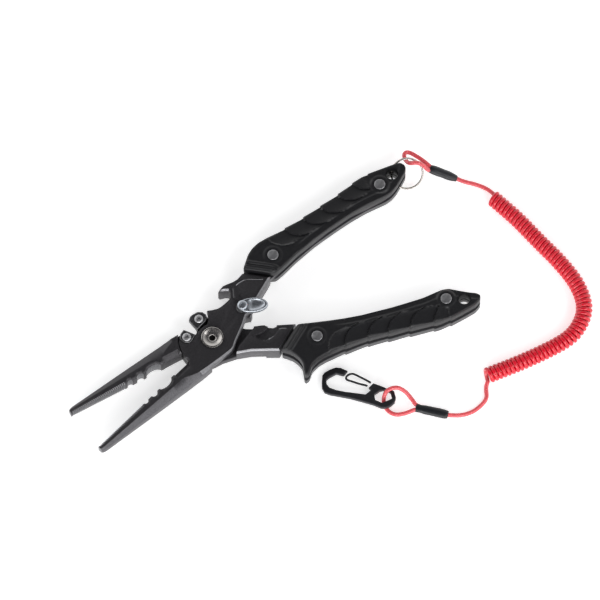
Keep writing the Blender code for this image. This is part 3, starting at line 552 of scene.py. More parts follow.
RISER_B = [(-4.2, -13.8), (-4.9, -16.4), (-3.3, -18.9), (-0.5, -20.5), (2.9, -20.5), (4.9, -19.9),
           (4.5, -17.0), (4.0, -13.6)]
PLATE_B_FRONT = [(8.6, -8.4), (13.0, -9.6), (18.4, -10.2), (19.6, -13.0), (24.0, -12.9),
                 (24.0, -1.0)]
NECK_B = [(-8.4, 17.0), (-17.3, 20.1), (-27.3, 25.4), (-33.3, 28.8), (-51.4, 17.9),
          (-45.7, 15.3), (-40.4, 12.7), (-37.8, 12.6), (-34.4, 10.2), (-33.6, 8.8), (-31.2, 7.7),
          (-27.6, 6.3)]
BODY_B = (EAR_B + PLATE_B_FRONT + arc((0, 0), PLATE_RADIUS, -2, 30, 12)
          + arc((0, 0), 18.7, 35, 50, 6) + [(6.7, 15.3), (0.7, 15.3)] + NECK_B
          + [(-23.0, 3.6), (-16.0, -3.0), (-10.0, -9.0)])
TANG_B = [(-36.5, 30.0), (-45.0, 35.0), (-56.0, 44.5), (-68.0, 46.4), (-88.0, 49.8),
          (-113.0, 56.6), (-133.0, 62.6), (-157.0, 63.2), (-162.0, 59.6), (-160.0, 56.4),
          (-146.5, 46.4), (-130.0, 45.0), (-110.0, 41.0), (-90.0, 35.8), (-70.0, 29.0),
          (-52.0, 21.4), (-46.0, 18.0)]
RING_CENTRE = Vector((-171.4, 7.4, 9.0))
RING_RADIUS, RING_WIRE, RING_TILT = 10.2, 1.05, 40.0
RING_ALONG = Vector((0.8, -0.6, 0.0))
RING_SIDE = Vector((-0.6, -0.8, 0.0)) * math.cos(math.radians(RING_TILT)) \
    + Vector((0, 0, 1)) * math.sin(math.radians(RING_TILT))
RING_NORMAL = RING_ALONG.cross(RING_SIDE)


def ring_point(angle):
    turn_by = math.radians(angle)
    return RING_CENTRE + (RING_ALONG * math.cos(turn_by) + RING_SIDE * math.sin(turn_by)) * RING_RADIUS


def ring_clearance():
    return tube_mesh([ring_point(angle) for angle in range(0, 360, 9)], RING_WIRE + 0.75, 12, True)


CLAW_A = [(-24.5, 3.0), (-25.6, 5.9), (-28.8, 6.3), (-31.2, 5.2), (-31.6, 2.0)]
SWING_CORNER = [(-16.0, 13.0), (-29.2, 9.6), (-28.6, 5.7), (-23.6, 2.7), (-20.0, -0.8), (-14.0, 0.0)]
LOCK_POCKET = [(-40.0, 10.5), (-40.4, 15.6), (-38.9, 16.6), (-36.0, 18.0), (-32.8, 18.5),
               (-29.2, 18.5), (-26.2, 16.6), (-24.4, 14.6)]
GROOVES_A = ([(-51.5, -5.2), (-50.0, -6.5), (-46.8, -9.8), (-43.5, -13.0), (-40.0, -14.2),
              (-36.5, -14.6)],
             [(-34.7, -17.0), (-33.9, -14.7), (-31.6, -12.0), (-29.6, -9.6)])
GROOVES_B = ([(-44.3, 18.2), (-42.0, 16.6), (-39.9, 16.2), (-37.8, 16.8), (-35.7, 18.0),
              (-33.6, 18.8), (-31.5, 19.0), (-29.5, 18.6), (-27.5, 17.6)],)
SCREW_BORE, LOCK_BORE = 1.95, 2.15
NECK_SPACE = [(-26.0, -30), (34.0, -30), (34.0, 30), (-26.0, 30)]


def groove(line):
    """Cutter for a shallow round groove in the top face."""
    return tube_mesh(smooth_route([(x, y, FULL_HIGH + 0.25) for x, y in line], 0.8), 0.62, 8)


def lever(letter, outline, tools, rivets, grooves, wear_and_light_span, side, body, place=None):
    """Lever from its body outline, its own tools and the tools that both levers have."""
    name = "lever_%s_look" % letter
    tools = (join(jaw_loft(side)) + cut(prism(NECK_SPACE, NECK_LOW - 1, FULL_LOW)) + tools
             + cut(*[cylinder(rivet, 2.5, 5, 13, 24) for rivet in rivets])
             + cut(*[groove(line) for line in grooves]))
    mesh = baked(name, prism(outline, NECK_LOW, FULL_HIGH, 0.0, EDGE, FAR_EDGE), tools)
    mesh = softened(name, mesh)
    worn_and_painted_light_faces(mesh, *wear_and_light_span, side)
    link(name, mesh, LEVER_LOOKS, body, ("lever_" + letter,), place)


def build_levers():
    swing_a = (arc((0, 0), SHOULDER_RADIUS, -150, 30, 40) + arc((0, 0), 19.1, 36, 90, 16)
               + arc((0, 0), SHOULDER_RADIUS, 96, 200, 28))
    seat = [(5.4, -8.9), (8.0, -8.0), (11.2, -7.2), (13.9, -8.2), (15.6, -10.6), (15.6, -20),
            (5.4, -20)]
    tools = (join(prism(CLAW_A, NECK_LOW, 9.0, 0.0, 0.8))
             + cut(prism(swing_a, NECK_LOW - 1, PLATE_SPLIT_HIGH),
                   prism(SWING_CORNER, NECK_LOW - 1, PLATE_SPLIT_HIGH))
             + join(prism(TANG_A, TANG_LOW, TANG_HIGH))
             + cut(cylinder((0, 0), 4.5, 2, 16), prism(seat, 11.3, 16),
                   cylinder(BLADE_A_SCREW, SCREW_BORE, 8, 16, 24), cylinder(LOCK_PIVOT, LOCK_BORE, 8, 16, 24),
                   cylinder(HOLE_A, HOLE_RADIUS + 0.2, 5, 13, 32), ring_clearance()))
    lever("a", BODY_A, tools, RIVETS_A, GROOVES_A, (-60.0, 19.0), 1, "fixed_lever")

    swing_b = (arc((0, 0), SHOULDER_RADIUS, -130, 70, 44)
               + [(-6.0, 24.0), (-8.2, 16.6), (-12.0, 13.4), (-20.0, 10.0), (-26.6, 7.0),
                  (-29.0, 2.0), (-20.0, -14.0)])
    riser = RISER_B + arc((0, 0), 11.4, 288, 264, 8)
    pocket = arc(LOCK_PIVOT, 13.3, 74, 134, 24) + LOCK_POCKET
    tools = (cut(prism(swing_b, PLATE_SPLIT_LOW, 16))
             + join(prism(riser, PLATE_SPLIT_LOW - 2, 11.3), prism(TANG_B, TANG_LOW, TANG_HIGH))
             + cut(cylinder((0, 0), 4.5, 2, 16), prism(pocket, 11.6, 16),
                   cylinder(BLADE_B_SCREW, SCREW_BORE, 4.6, 16, 24),
                   cylinder(HOLE_B, HOLE_RADIUS + 0.2, 5, 13, 32)))
    lever("b", BODY_B, tools, RIVETS_B, GROOVES_B, (-45.0, -9.0), -1, "moving_lever", TURN_B)


build_levers()


# ---------------------------------------------------------------- grips
# Each grip is given as its outer edge (the side with the scales) from the front to the rear,
# then its inner edge from the rear back to the front.
GRIP_A_OUTER = [(-46.9, -18.7), (-51.2, -21.0), (-56.2, -23.6), (-61.1, -24.9), (-66.9, -24.9),
                (-72.9, -23.4), (-84.9, -20.2), (-97.9, -17.2), (-115.9, -14.1), (-125.9, -12.4),
                (-140.9, -10.8), (-146.9, -10.0), (-151.8, -8.0), (-160.8, -4.1), (-167.8, -1.0),
                (-171.3, 1.0), (-172.3, 3.3)]
GRIP_A_INNER = [(-171.8, 5.9), (-169.4, 7.8), (-163.9, 9.4), (-157.9, 11.1), (-153.0, 11.7),
                (-148.1, 11.0), (-140.1, 8.2), (-134.1, 6.2), (-124.1, 3.8), (-114.1, 2.0),
                (-104.1, 0.5), (-94.0, -0.8), (-79.0, -1.6), (-66.0, -1.5), (-60.2, -1.8),
                (-57.7, -3.9)]
GRIP_B_OUTER = [(-34.1, 29.7), (-37.0, 32.6), (-39.5, 36.1), (-41.1, 40.5), (-41.4, 44.7),
                (-39.7, 48.6), (-38.2, 52.4), (-38.6, 53.5), (-41.6, 52.9), (-45.8, 48.9),
                (-51.9, 47.1), (-58.0, 46.8), (-68.1, 48.0), (-78.1, 49.6), (-88.1, 51.4),
                (-103.1, 55.7), (-113.2, 58.4), (-123.2, 61.5), (-133.1, 64.3), (-139.0, 65.0),
                (-150.0, 65.0), (-157.9, 64.7), (-162.2, 63.0), (-163.8, 60.4)]
GRIP_B_INNER = [(-162.2, 58.0), (-158.2, 55.2), (-152.1, 50.0), (-148.2, 46.5), (-143.9, 44.9),
                (-130.4, 43.8), (-120.4, 41.8), (-110.4, 39.7), (-100.4, 37.1), (-90.3, 34.5),
                (-80.3, 31.2), (-70.3, 27.4), (-60.3, 23.3), (-51.6, 19.6)]
SCALES_A = [-73.2, -86.0, -99.5, -113.0, -126.5, -139.0, -150.5]
SCALES_B = [-60.0, -71.0, -86.5, -99.0, -113.5, -128.5, -139.0]
# Height of a scale's step, its reach from the outer edge and how far its border sweeps back
SCALE_STEP, SCALE_REACH, SCALE_SWEEP = 1.5, 12.0, 14.5
BORDER_WIDTH = 4.6                      # of the lower border on the inner side
GRID, GRIP_EDGE, GRIP_LEVEL = 0.65, 1.7, 0.45


def dense_line(points, spacing, closed=False):
    """The line with places added at an even spacing."""
    ends = points + points[:1] if closed else points
    out = []
    for a, b in zip(ends, ends[1:]):
        a, b = np.array(a, float), np.array(b, float)
        count = max(1, int(round(np.linalg.norm(b - a) / spacing)))
        out += [a + (b - a) * step / count for step in range(count)]
    if not closed:
        out.append(np.array(points[-1], float))
    return np.array(out)


def rounded_corners(points, spacing, passes):
    """Closed outline, evenly dense and with its corners eased."""
    line = dense_line(points, spacing, True)
    for _ in range(passes):
        line = 0.5 * line + 0.25 * (np.roll(line, 1, 0) + np.roll(line, -1, 0))
    return line


def nearest_on(points, line):
    """Distance to an open line and the arc length of the nearest place on it."""
    a, b = line[:-1], line[1:]
    way = b - a
    size = (way ** 2).sum(1)
    starts = np.concatenate(([0.0], np.cumsum(np.sqrt(size))))
    best = np.full(len(points), 1e9)
    place = np.zeros(len(points))
    for index in range(len(a)):
        t = np.clip(((points - a[index]) @ way[index]) / size[index], 0, 1)
        far = np.linalg.norm(points - a[index] - t[:, None] * way[index], axis=1)
        closer = far < best
        best[closer] = far[closer]
        place[closer] = starts[index] + t[closer] * math.sqrt(size[index])
    return best, place


def grip_relief(points, outer, inner, scales, front, rivets):
    """Height above or below the flat top at each point."""
    line = np.array(outer)
    away, along = nearest_on(points, line)
    marks = []
    for x in scales:
        if np.all(np.diff(-line[:, 0]) > 0):
            y = np.interp(-x, -line[:, 0], line[:, 1])
        else:
            y = line[np.argmin(np.abs(line[:, 0] - x) + (np.arange(len(line)) < 3) * 1e3), 1]
        marks.append(nearest_on(np.array([[x, y]]), line)[1][0])
    height = np.full(len(points), -0.35)
    # A scale's front border leaves the edge squarely and sweeps towards the rear.
    sweep = np.sqrt(np.clip(1 - (np.clip(away, 0, SCALE_REACH) / SCALE_REACH) ** 2, 0, 1))
    shifted = along - SCALE_SWEEP * (1 - sweep)
    for start, end in zip(marks, marks[1:]):
        part = (away < SCALE_REACH) & (shifted >= start) & (shifted < end)
        height[part] = SCALE_STEP * (0.3 - (shifted[part] - start) / (end - start))
    # A lower border runs along the inner edge, behind the front rivet.
    beside = nearest_on(points, np.array(inner, float))[0]
    border = np.clip((BORDER_WIDTH - beside) / 0.8, 0, 1)
    height -= 0.55 * border * np.clip((rivets[0][0] - 12 - points[:, 0]) / 8, 0, 1)
    # Two raised bars cross the front end.
    far = nearest_on(points, np.array(front, float))[0]
    for middle in (2.6, 5.4):
        bar = np.clip(2 * np.clip(1 - np.abs(far - middle) / 1.1, 0, 1), 0, 1)
        height = np.maximum(height, -0.35 + 0.75 * bar * (far < 8) - 5 * (far > 8))
    for place in rivets:
        gap = np.linalg.norm(points - np.array(place), axis=1)
        collar = np.clip((6.6 - gap) / 1.2, 0, 1)
        height = height * (1 - collar) + 0.12 * collar
    return height


def scalloped(outline, outer, scales):
    """The outline with its outer edge stepped back behind each scale."""
    line = np.array(outer)
    away, along = nearest_on(outline, line)
    marks = []
    for x in scales:
        mark = line[np.argmin(np.abs(line[8:, 0] - x)) + 8]
        marks.append(nearest_on(np.array([mark]), line)[1][0])
    ahead = np.roll(outline, -1, 0) - np.roll(outline, 1, 0)
    normal = np.stack((-ahead[:, 1], ahead[:, 0]), 1)
    normal /= np.linalg.norm(normal, axis=1)[:, None]
    x, y = outline.T
    area = float((x * np.roll(y, -1) - np.roll(x, -1) * y).sum())
    inward = normal * (1 if area > 0 else -1)
    depth = np.zeros(len(outline))
    for start, end in zip(marks, marks[1:]):
        part = (away < 0.9) & (along >= start) & (along < end)
        depth[part] = 0.75 * (along[part] - start) / (end - start)
    return outline + inward * depth[:, None]


def points_inside(points, closed):
    """The points that a closed line goes round."""
    x, y = points.T
    crossings = np.zeros(len(points), int)
    for p, q in zip(closed[:-1], closed[1:]):
        x_at = (q[0] - p[0]) * (y - p[1]) / (q[1] - p[1] + 1e-12) + p[0]
        crossings += (((p[1] > y) != (q[1] > y)) & (x < x_at)).astype(int)
    return points[crossings % 2 == 1]


def grip_mesh(name, outer, inner, scales, rivets, hole, upper):
    """Scale of a grip: a relief over a flat back, with bores for its rivets and the cord."""
    outline = rounded_corners(outer + inner, 0.8, 3)
    dense_outer = [tuple(p) for p in dense_line(outer, 1.0)]
    outline = scalloped(outline, dense_outer, scales)
    closed = np.vstack((outline, outline[:1]))
    axes = [np.arange(low, high, GRID) for low, high in zip(outline.min(0), outline.max(0))]
    grid = points_inside(np.stack(np.meshgrid(*axes), -1).reshape(-1, 2), closed)
    grid = grid[nearest_on(grid, closed)[0] > 2.2]
    rings = [np.array(inset([tuple(p) for p in outline], amount)) for amount in (0.25, 0.6, 1.1, 1.7)]
    count = len(outline)
    flat = [Vector(p) for p in np.vstack([outline] + rings + [grid])]
    edges = [(i, (i + 1) % count) for i in range(count)]
    verts, _, faces, _, _, _ = delaunay_2d_cdt(flat, edges, [], 1, 1e-5)
    verts = np.array([tuple(v) for v in verts])
    away = nearest_on(verts, closed)[0]
    relief = grip_relief(verts, dense_outer, inner, scales, [outer[0], inner[-1]], rivets)
    curve = np.sqrt(np.clip(GRIP_EDGE ** 2 - (GRIP_EDGE - away) ** 2, 0, None))
    drop = np.where(away < GRIP_EDGE, GRIP_EDGE - curve, 0)
    top = GRIP_HIGH - GRIP_LEVEL + relief * np.clip(away / 1.2, 0, 1) - drop
    work = bmesh.new()
    made = [work.verts.new((x * MM, y * MM, z * MM)) for (x, y), z in zip(verts, top)]
    for face in faces:
        try:
            work.faces.new([made[i] for i in face])
        except ValueError:
            pass
    bmesh.ops.remove_doubles(work, verts=work.verts, dist=1e-6)
    rim = [edge for edge in work.edges if len(edge.link_faces) == 1]
    wall = bmesh.ops.extrude_edge_only(work, edges=rim)
    bottom = {item for item in wall["geom"] if isinstance(item, bmesh.types.BMVert)}
    for vert in bottom:
        vert.co.z = (TANG_HIGH + GAP) * MM
    loop = [item for item in wall["geom"] if isinstance(item, bmesh.types.BMEdge)
            and all(v in bottom for v in item.verts)]
    bmesh.ops.contextual_create(work, geom=loop)
    if not upper:
        for vert in work.verts:
            vert.co.z = GRIP_HIGH * MM - vert.co.z
        bmesh.ops.reverse_faces(work, faces=work.faces)

    def bore(profile, place):
        """The profile is turned over for a lower scale."""
        return turned([(r, z if upper else GRIP_HIGH - z) for r, z in profile], place, 48)

    seat = ((0.0, 8), (2.5, 8), (2.5, 17.3), (3.9, 17.3), (3.9, 21), (0.0, 21))
    funnel = ((0.0, 8), (HOLE_RADIUS, 8), (HOLE_RADIUS, 15.1), (HOLE_RADIUS + 0.9, 19.1), (0.0, 19.1))
    tools = [bore(seat, place) for place in rivets] + [bore(funnel, hole)]
    if hole == HOLE_A:
        tools.append(ring_clearance())
    return shaded(baked(name, work, cut(*tools)), 50)


def build_grips():
    # The lower scales take the lighter rubber, painted light on the grips' side band.
    for side, upper, look in (("upper", True, RUBBER), ("lower", False, RUBBER_LOWER_PAINTED_LIGHT)):
        for letter, shape, body, place in (
                ("a", (GRIP_A_OUTER, GRIP_A_INNER, SCALES_A, RIVETS_A, HOLE_A), "fixed_lever", None),
                ("b", (GRIP_B_OUTER, GRIP_B_INNER, SCALES_B, RIVETS_B, HOLE_B), "moving_lever", TURN_B)):
            node = "grip_%s_%s" % (letter, side)
            mesh = grip_mesh("grip_%s_look" % letter, *shape, upper)
            link(node + "_look", mesh, (look,), body, (node,), place)


build_grips()


# ---------------------------------------------------------------- hardware
def turned_piece(node, profile, place, look, moving=False, socket_shade=None):
    """Turned part on a lever; its socket, given by radius and least height, is painted dark inside as shade.
    """
    name = node.replace("grip_", "") + "_look"
    body = "moving_lever" if moving else "fixed_lever"
    here = (TURN_B if moving else Matrix.Identity(4)) @ Matrix.Translation(Vector((*place, 0.0)) * MM)
    mesh = as_mesh(name, turned(profile))
    if socket_shade:
        # Faces deep in the socket take the near-black painted shade.
        for face in mesh.polygons:
            close = math.hypot(face.center.x, face.center.y) < socket_shade[0] * MM
            face.material_index = 1 if close and face.center.z > socket_shade[1] * MM else 0
    return link(name, mesh, (look, PAINTED_SOCKET_SHADE), body, (node,), here)


SPRING_TURN_STEPS = 40


def build_hardware():
    screw = ((0.0, 0.9), (3.0, 0.9), (3.0, 14.8), (6.9, 14.8), (7.15, 15.0), (7.15, 15.5), (7.0, 15.8),
             (6.7, 15.95), (6.3, 15.95), (6.0, 15.85), (5.0, 15.3), (4.0, 14.95), (3.0, 14.75),
             (2.4, 14.7), (2.1, 14.5), (1.9, 14.1), (1.9, 12.4), (0.0, 12.3))
    turned_piece("pivot_screw", screw, (0, 0), TURNED, socket_shade=(2.2, 10.0))
    nut = ((0.0, 0.0), (6.5, 0.0), (6.85, 0.15), (7.0, 0.45), (7.0, 3.2), (3.3, 3.2), (3.3, 0.6),
           (0.0, 0.6))
    turned_piece("pivot_nut", nut, (0, 0), TURNED)
    low, high = 0.5, 18.2
    rivet = ((0.0, low), (3.1, low), (3.4, low + 0.08), (3.55, low + 0.25), (3.55, low + 0.4),
             (2.2, low + 0.45), (2.2, high - 0.6), (3.55, high - 0.6), (3.55, high - 0.25),
             (3.4, high - 0.08), (3.1, high), (0.0, high + 0.02))
    for ends_a, ends_b, end in zip(RIVETS_A, RIVETS_B, ("front", "rear")):
        turned_piece("grip_rivet_a_" + end, rivet, ends_a, RIVET_STEEL)
        turned_piece("grip_rivet_b_" + end, rivet, ends_b, RIVET_STEEL, True)

    def domed(head, shank, bottom, top):
        steps = [(head * math.cos(a), top + 0.35 + 1.15 * math.sin(a))
                 for a in [math.radians(v) for v in range(0, 76, 12)]]
        return ([(0.0, bottom), (shank, bottom), (shank, top), (head, top)] + steps
                + [(1.0, top + 1.3), (0.95, top + 0.7), (0.0, top + 0.65)])

    turned_piece("cutter_screw_a", domed(2.9, 1.6, 9.6, 14.9), BLADE_A_SCREW, RIVET_STEEL)
    turned_piece("cutter_screw_b", domed(2.9, 1.6, 5.0, 14.9), BLADE_B_SCREW, RIVET_STEEL,
                 True)
    turned_piece("lock_screw", domed(3.3, 1.8, 10.2, 18.2), LOCK_PIVOT, CHROME)
    washer = ((2.2, 14.8), (4.1, 14.8), (4.2, 14.9), (4.2, 15.2), (2.2, 15.2))
    turned_piece("lock_washer", washer, LOCK_PIVOT, SPRING)
    bush = ((3.3, 3.6), (4.2, 3.6), (4.2, 14.4), (3.3, 14.4))
    turned_piece("pivot_bush", bush, (0, 0), BRONZE)

    wire = []
    for step in range(73):
        turns = step / SPRING_TURN_STEPS
        angle = 2 * math.pi * turns
        wire.append((7.95 * math.cos(angle), 7.95 * math.sin(angle), 9.05 + 1.15 * (turns - 0.9)))
    link("return_spring_look", as_mesh("return_spring_look", tube_mesh(wire, 0.45, 10)), (SPRING,),
         "fixed_lever", ("return_spring",))


BLADE_A = [(5.8, -9.2), (8.8, -17.2), (12.4, -16.6), (15.1, -14.6), (15.1, -10.9), (13.6, -8.7),
           (11.2, -7.7), (8.6, -8.4)]
BLADE_B = [(5.2, -9.8), (6.5, -13.4), (7.2, -18.0), (5.2, -20.0), (3.0, -20.5), (-0.8, -20.5),
           (-3.4, -18.8), (-4.6, -16.2), (-3.9, -13.9), (-2.0, -12.3), (1.0, -11.3)]
BLADE_LOW, BLADE_HIGH = 11.6, 14.6


def build_blades():
    for letter, outline, screw, body, place in (("a", BLADE_A, BLADE_A_SCREW, "fixed_lever", None),
                                                ("b", BLADE_B, BLADE_B_SCREW, "moving_lever", TURN_B)):
        name = "cutter_blade_%s_look" % letter
        mesh = baked(name, prism(outline, BLADE_LOW, BLADE_HIGH, 0.0, 0.5),
                     cut(cylinder(screw, SCREW_BORE, 10, 16)))
        link(name, softened(name, mesh, 0.15), (TUNGSTEN,), body, ("cutter_blade_" + letter,),
             place)


# Share of the oval and height of each ring, from the foot over the rim into the scoop
LOCK_LEVELS = ((1.0, 15.5), (1.0, 16.9), (0.985, 17.3), (0.955, 17.6), (0.9, 17.8), (0.84, 17.9),
               (0.8, 17.85), (0.74, 17.6), (0.64, 17.25), (0.5, 16.95), (0.34, 16.75), (0.16, 16.65),
               (0.04, 16.6))
SCOOP_SHARE, SCOOP_RIM, SCOOP_SHIFT = 0.8, 17.85, 1.6
LOCK_TAB = (13.7, 15.2, 1.5)            # inner and outer radius and half width of the catch


def build_lock():
    """Oval thumb lever, dished on top."""
    heading = math.radians(LOCK_ANGLE)
    way = Vector((math.cos(heading), math.sin(heading)))
    across = Vector((-math.sin(heading), math.cos(heading)))
    start = Vector(LOCK_PIVOT)
    turn_lock = Matrix.Translation(start.to_3d()) @ Matrix.Rotation(heading, 4, "Z")
    half, wide = LOCK_OVAL
    rings = []
    for share, height in LOCK_LEVELS:
        ring = []
        for x, y in arc((0, 0), 1.0, 0, 360, 72)[:-1]:
            # The scoop lies in the tip half; the screw end stays level.
            along = half * x * share
            sunk = height
            if share < SCOOP_SHARE:
                along += SCOOP_SHIFT * (1 - share)
                level = min(1.0, max(0.0, (LOCK_MIDDLE + along - 3.6) / 2.4))
                sunk = SCOOP_RIM + (height - SCOOP_RIM) * level
            ring.append(turn_lock @ Vector((LOCK_MIDDLE + along, wide * y * share, sunk)))
        rings.append(ring)
    inner, outer, aside = LOCK_TAB
    corners = [tuple(start + way * along + across * shift) for along, shift in
               ((inner, -aside), (outer, -aside), (outer, aside), (inner, aside))]
    tools = join(prism(corners, 12.3, 16.2)) + cut(cylinder(LOCK_PIVOT, LOCK_BORE, 11, 20))
    mesh = shaded(baked("lock_lever_look", stack(rings), tools), 40)
    link("lock_lever_look", mesh, (CHROME,), "lock", ("lock_lever",))


def build_ring():
    """Two touching turns of wire."""
    points = []
    for step in range(0, 721, 6):
        shift = 0.6 * (2 * step / 720 - 1)
        points.append(ring_point(step) + RING_NORMAL * shift)
    mesh = as_mesh("split_ring_look", tube_mesh(points, 0.62, 12))
    link("split_ring_look", mesh, (RING_STEEL,), "ring", ("split_ring",))


# ---------------------------------------------------------------- lanyard
SLEEVE_A = (Vector((-184.0, 15.4, 9.4)), Vector((-193.2, 31.2, 3.0)))
SLEEVE_B = (Vector((-71.4, 141.6, 2.3)), Vector((-60.0, 123.6, 3.6)))
LOOP_A = [(-182.5, 15.6, 9.8), (-182.0, 13.6, 12.0), (-180.9, 11.4, 14.4), (-179.4, 9.0, 16.0),
          (-177.6, 7.0, 15.4), (-176.4, 4.6, 13.2), (-176.6, 1.4, 11.4), (-178.0, -1.8, 11.6),
          (-180.4, -2.9, 11.8), (-182.6, -0.8, 11.0), (-184.0, 3.6, 10.2), (-185.0, 9.0, 9.8),
          (-185.2, 14.0, 9.6)]
CORD_A = [(-193.6, 31.9, 2.8), (-195.6, 36.0, 1.9), (-199.4, 42.4, 1.5), (-202.0, 49.0, 1.5),
          (-202.6, 54.0, 1.7), (-202.4, 56.9, 2.0)]
COIL = [(-199.0, 57.6, 5.5), (-199.2, 66.0, 5.5), (-199.3, 80.5, 5.5), (-197.9, 101.7, 5.5),
        (-196.9, 119.3, 5.5), (-193.6, 137.8, 5.5), (-186.2, 152.0, 5.5), (-174.7, 159.2, 5.5),
        (-159.8, 160.2, 5.5), (-134.2, 152.4, 5.5), (-107.4, 141.6, 5.5)]
CORD_B = [(-105.3, 144.2, 3.0), (-103.4, 144.8, 2.4), (-101.0, 146.8, 1.7), (-97.0, 150.9, 1.5),
          (-90.9, 151.9, 1.5), (-84.0, 151.0, 1.5), (-77.4, 147.6, 1.6), (-72.0, 142.5, 2.2)]
LOOP_B = [(-61.6, 122.4, 3.4), (-62.4, 117.0, 4.6), (-62.4, 112.0, 6.6), (-60.6, 107.4, 8.4),
          (-57.2, 104.8, 8.9), (-53.6, 103.7, 8.0), (-50.8, 104.4, 4.8), (-48.9, 106.0, 1.8),
          (-47.6, 108.2, 1.45), (-46.9, 110.8, 1.45), (-46.9, 114.2, 1.45), (-48.8, 118.2, 1.9),
          (-53.2, 121.6, 2.8), (-57.9, 123.9, 3.5)]
COIL_TURNS, STEPS_PER_TURN = 62, 24


def coil_points():
    """Helix of the curly cord round the coil's centre line."""
    route = smooth_route(COIL, 1.0)
    total = COIL_TURNS * STEPS_PER_TURN
    radius = COIL_RADIUS - CORD_RADIUS + 0.15
    normal = Vector((0, 0, -1))
    frames = []
    for index, point in enumerate(route):
        way = (route[min(index + 1, len(route) - 1)] - route[max(index - 1, 0)]).normalized()
        normal = (normal - way * normal.dot(way)).normalized()
        frames.append((point, normal.copy(), way.cross(normal)))
    points = []
    for step in range(total + 1):
        spot = step / total * (len(frames) - 1)
        index = min(int(spot), len(frames) - 2)
        share = spot - index
        point = frames[index][0].lerp(frames[index + 1][0], share)
        n, o = [frames[index][axis].lerp(frames[index + 1][axis], share).normalized() for axis in (1, 2)]
        a = 2 * math.pi * step / STEPS_PER_TURN
        points.append(point + n * radius * math.cos(a) + o * radius * math.sin(a))
    return points


def build_cord():
    """One cord from the loop in the split ring to the loop in the clip."""
    up, down = SLEEVE_A, SLEEVE_B
    tail = tuple(up[0].lerp(up[1], 0.3) + Vector((0.5, 0, 0.3)))
    first = smooth_route([tail] + LOOP_A, 0.9)
    second = smooth_route(CORD_A, 1.0)
    middle = coil_points()
    last = smooth_route(CORD_B, 1.0)
    end = smooth_route(LOOP_B + [tuple(down[1].lerp(down[0], share)) for share in (0.15, 0.4)], 0.9)
    # The loop's two strands lie in the sleeve, one of them running on as the cord.
    into = smooth_route([first[-2], first[-1], up[0].lerp(up[1], 0.3), second[0], second[1]], 1.0)
    out = smooth_route([last[-2], last[-1], down[0].lerp(down[1], 0.5), end[0], end[1]], 1.0)
    lead = smooth_route([second[-2], second[-1], middle[1], middle[5]], 1.0)
    leave = smooth_route([middle[-6], middle[-2], last[0], last[1]], 1.0)
    # Slot 1, on the coiled turns, is the darker red of painted shade.
    parts = [(first[:-2], 0), (into, 0), (second[2:-2], 0), (lead, 0), (middle[6:-6], 1), (leave, 0),
             (last[2:-2], 0), (out, 0), (end[2:], 0)]
    points, slots = [], []
    for part, slot in parts:
        for point in part:
            if points and (point - points[-1]).length < 0.25:
                continue
            points.append(point)
            slots.append(slot)
    for _ in range(2):
        eased = [points[i] if slots[i] else points[i] * 0.5 + (points[i - 1] + points[i + 1]) * 0.25
                 for i in range(1, len(points) - 1)]
        points = [points[0]] + eased + [points[-1]]
    mesh = as_mesh("lanyard_cord_look", tube_mesh(points, CORD_RADIUS, 14, False, slots), 80)
    cord = link("lanyard_cord_look", mesh, (CORD_LOOK, COIL_PAINTED_SHADE_LOOK), "fixed_lever",
                ("lanyard_loop_upper", "lanyard_cord_upper", "lanyard_coil", "lanyard_cord_lower",
                 "lanyard_loop_lower"))
    return cord, [p * MM for p in points]


SLEEVE_HALF, SLEEVE_STEPS = (3.1, 2.1), 40


def sleeve_mesh(ends, name, width_end):
    """Shrunk sleeve, a little uneven, that narrows to a neck at its far end."""
    start, end = ends
    way = (end - start).normalized()
    across = way.cross(Vector((0, 0, 1))).normalized()
    lift = across.cross(way)
    rings = []
    stations = [(0.0, 0.78, 0.72), (0.02, 0.86, 0.84), (0.06, 0.93, 0.93), (0.14, 1.0, 1.0),
                (0.3, 1.02, 1.0), (0.5, 0.97, 0.97), (0.7, 0.99, 0.98), (0.85, 0.86, 0.9),
                (0.96, width_end, 0.8), (0.99, width_end * 0.95, 0.76), (1.0, width_end * 0.84, 0.66)]
    for share, wide, high in stations:
        centre = start.lerp(end, share)
        ring = []
        for step in range(SLEEVE_STEPS):
            a = 2 * math.pi * step / SLEEVE_STEPS
            wave = 1 + 0.012 * math.sin(3 * a + 25 * share) + 0.01 * math.sin(5 * a - 40 * share)
            ring.append(centre + across * SLEEVE_HALF[0] * wide * wave * math.cos(a)
                        + lift * SLEEVE_HALF[1] * high * wave * math.sin(a))
        rings.append(ring)
    return as_mesh(name, stack(rings), 60)


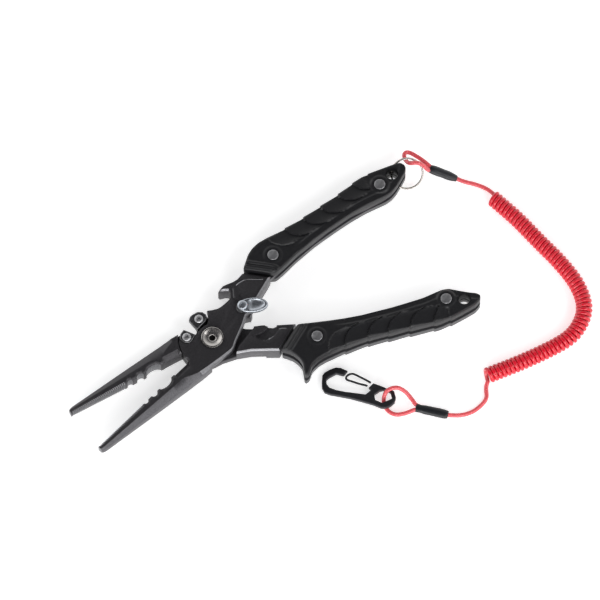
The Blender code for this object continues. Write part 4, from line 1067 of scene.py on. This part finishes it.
CARABINER_OUTER = [(-56.6, 103.2), (-58.0, 106.6), (-55.4, 110.8), (-52.4, 112.4), (-48.8, 112.2),
                   (-45.6, 110.8), (-43.8, 108.4), (-42.2, 103.6), (-39.6, 98.2), (-35.2, 89.4),
                   (-31.0, 82.6), (-28.2, 78.2), (-26.8, 74.4), (-27.8, 71.2), (-30.8, 68.2),
                   (-34.0, 65.4), (-36.4, 64.8), (-40.2, 65.8), (-44.2, 67.6), (-46.2, 70.2),
                   (-47.7, 75.0), (-43.7, 75.4), (-42.6, 73.4), (-41.4, 71.0), (-36.0, 69.4),
                   (-33.8, 69.4), (-32.0, 71.4), (-31.4, 74.4), (-33.2, 79.0), (-36.2, 84.0),
                   (-40.2, 89.6), (-43.8, 94.8), (-48.4, 95.2), (-48.2, 93.0), (-52.8, 93.0),
                   (-54.6, 97.4)]
CARABINER_EYE = [(-53.2, 109.4), (-55.6, 105.6), (-54.4, 101.4), (-51.8, 99.6), (-47.6, 98.9),
                 (-45.2, 102.2), (-46.8, 107.1)]
GATE = [(-52.1, 91.3), (-51.5, 88.0), (-50.2, 83.0), (-49.0, 79.0), (-47.4, 77.4), (-45.2, 76.8),
        (-43.6, 77.4), (-43.3, 78.9), (-44.4, 81.4), (-46.4, 86.0), (-48.6, 90.2), (-49.0, 91.3)]
CARABINER_HALF, GATE_WIRE = 1.6, 0.72
CARABINER_TOE = Vector((-36.4, 64.8, 0.0)) * MM
CARABINER_WAY, CARABINER_TILT = Vector((-0.322, 0.947, 0.0)), 3.9


def build_carabiner():
    """The clip lies on its toe, tilted up where the cord's loop lifts its eye."""
    half = CARABINER_HALF
    spin = Matrix.Rotation(math.radians(CARABINER_TILT), 4, CARABINER_WAY.cross(Vector((0, 0, 1))))
    lift = Vector((0, 0, half + 0.1)) * MM
    lying = Matrix.Translation(CARABINER_TOE + lift) @ spin @ Matrix.Translation(-CARABINER_TOE)
    mesh = baked("carabiner_body_look", prism(CARABINER_OUTER, -half, half, 0.45, 0.45),
                 cut(prism(CARABINER_EYE, -5, 5)))
    mesh = softened("carabiner_body_look", mesh, 0.3, 3)
    link("carabiner_body_look", mesh, (ANTHRACITE,), "clip", ("carabiner_body",), lying)
    points = smooth_route(at_height(GATE, 0.0), 0.5)
    link("carabiner_gate_look", as_mesh("carabiner_gate_look", tube_mesh(points, GATE_WIRE, 14)),
         (ANTHRACITE,), "clip_gate", ("carabiner_gate",), lying)


build_hardware()
build_blades()
build_lock()
build_ring()
build_carabiner()
cord, cord_path = build_cord()
sleeve_a, sleeve_b = [
    link("sleeve_%s_look" % end, sleeve_mesh(ends, "sleeve_%s_look" % end, width), (SHRINK,),
         "fixed_lever", ("lanyard_sleeve_" + end, "lanyard_crimp_" + end))
    for end, ends, width in (("upper", SLEEVE_A, 0.72), ("lower", SLEEVE_B, 0.95))]
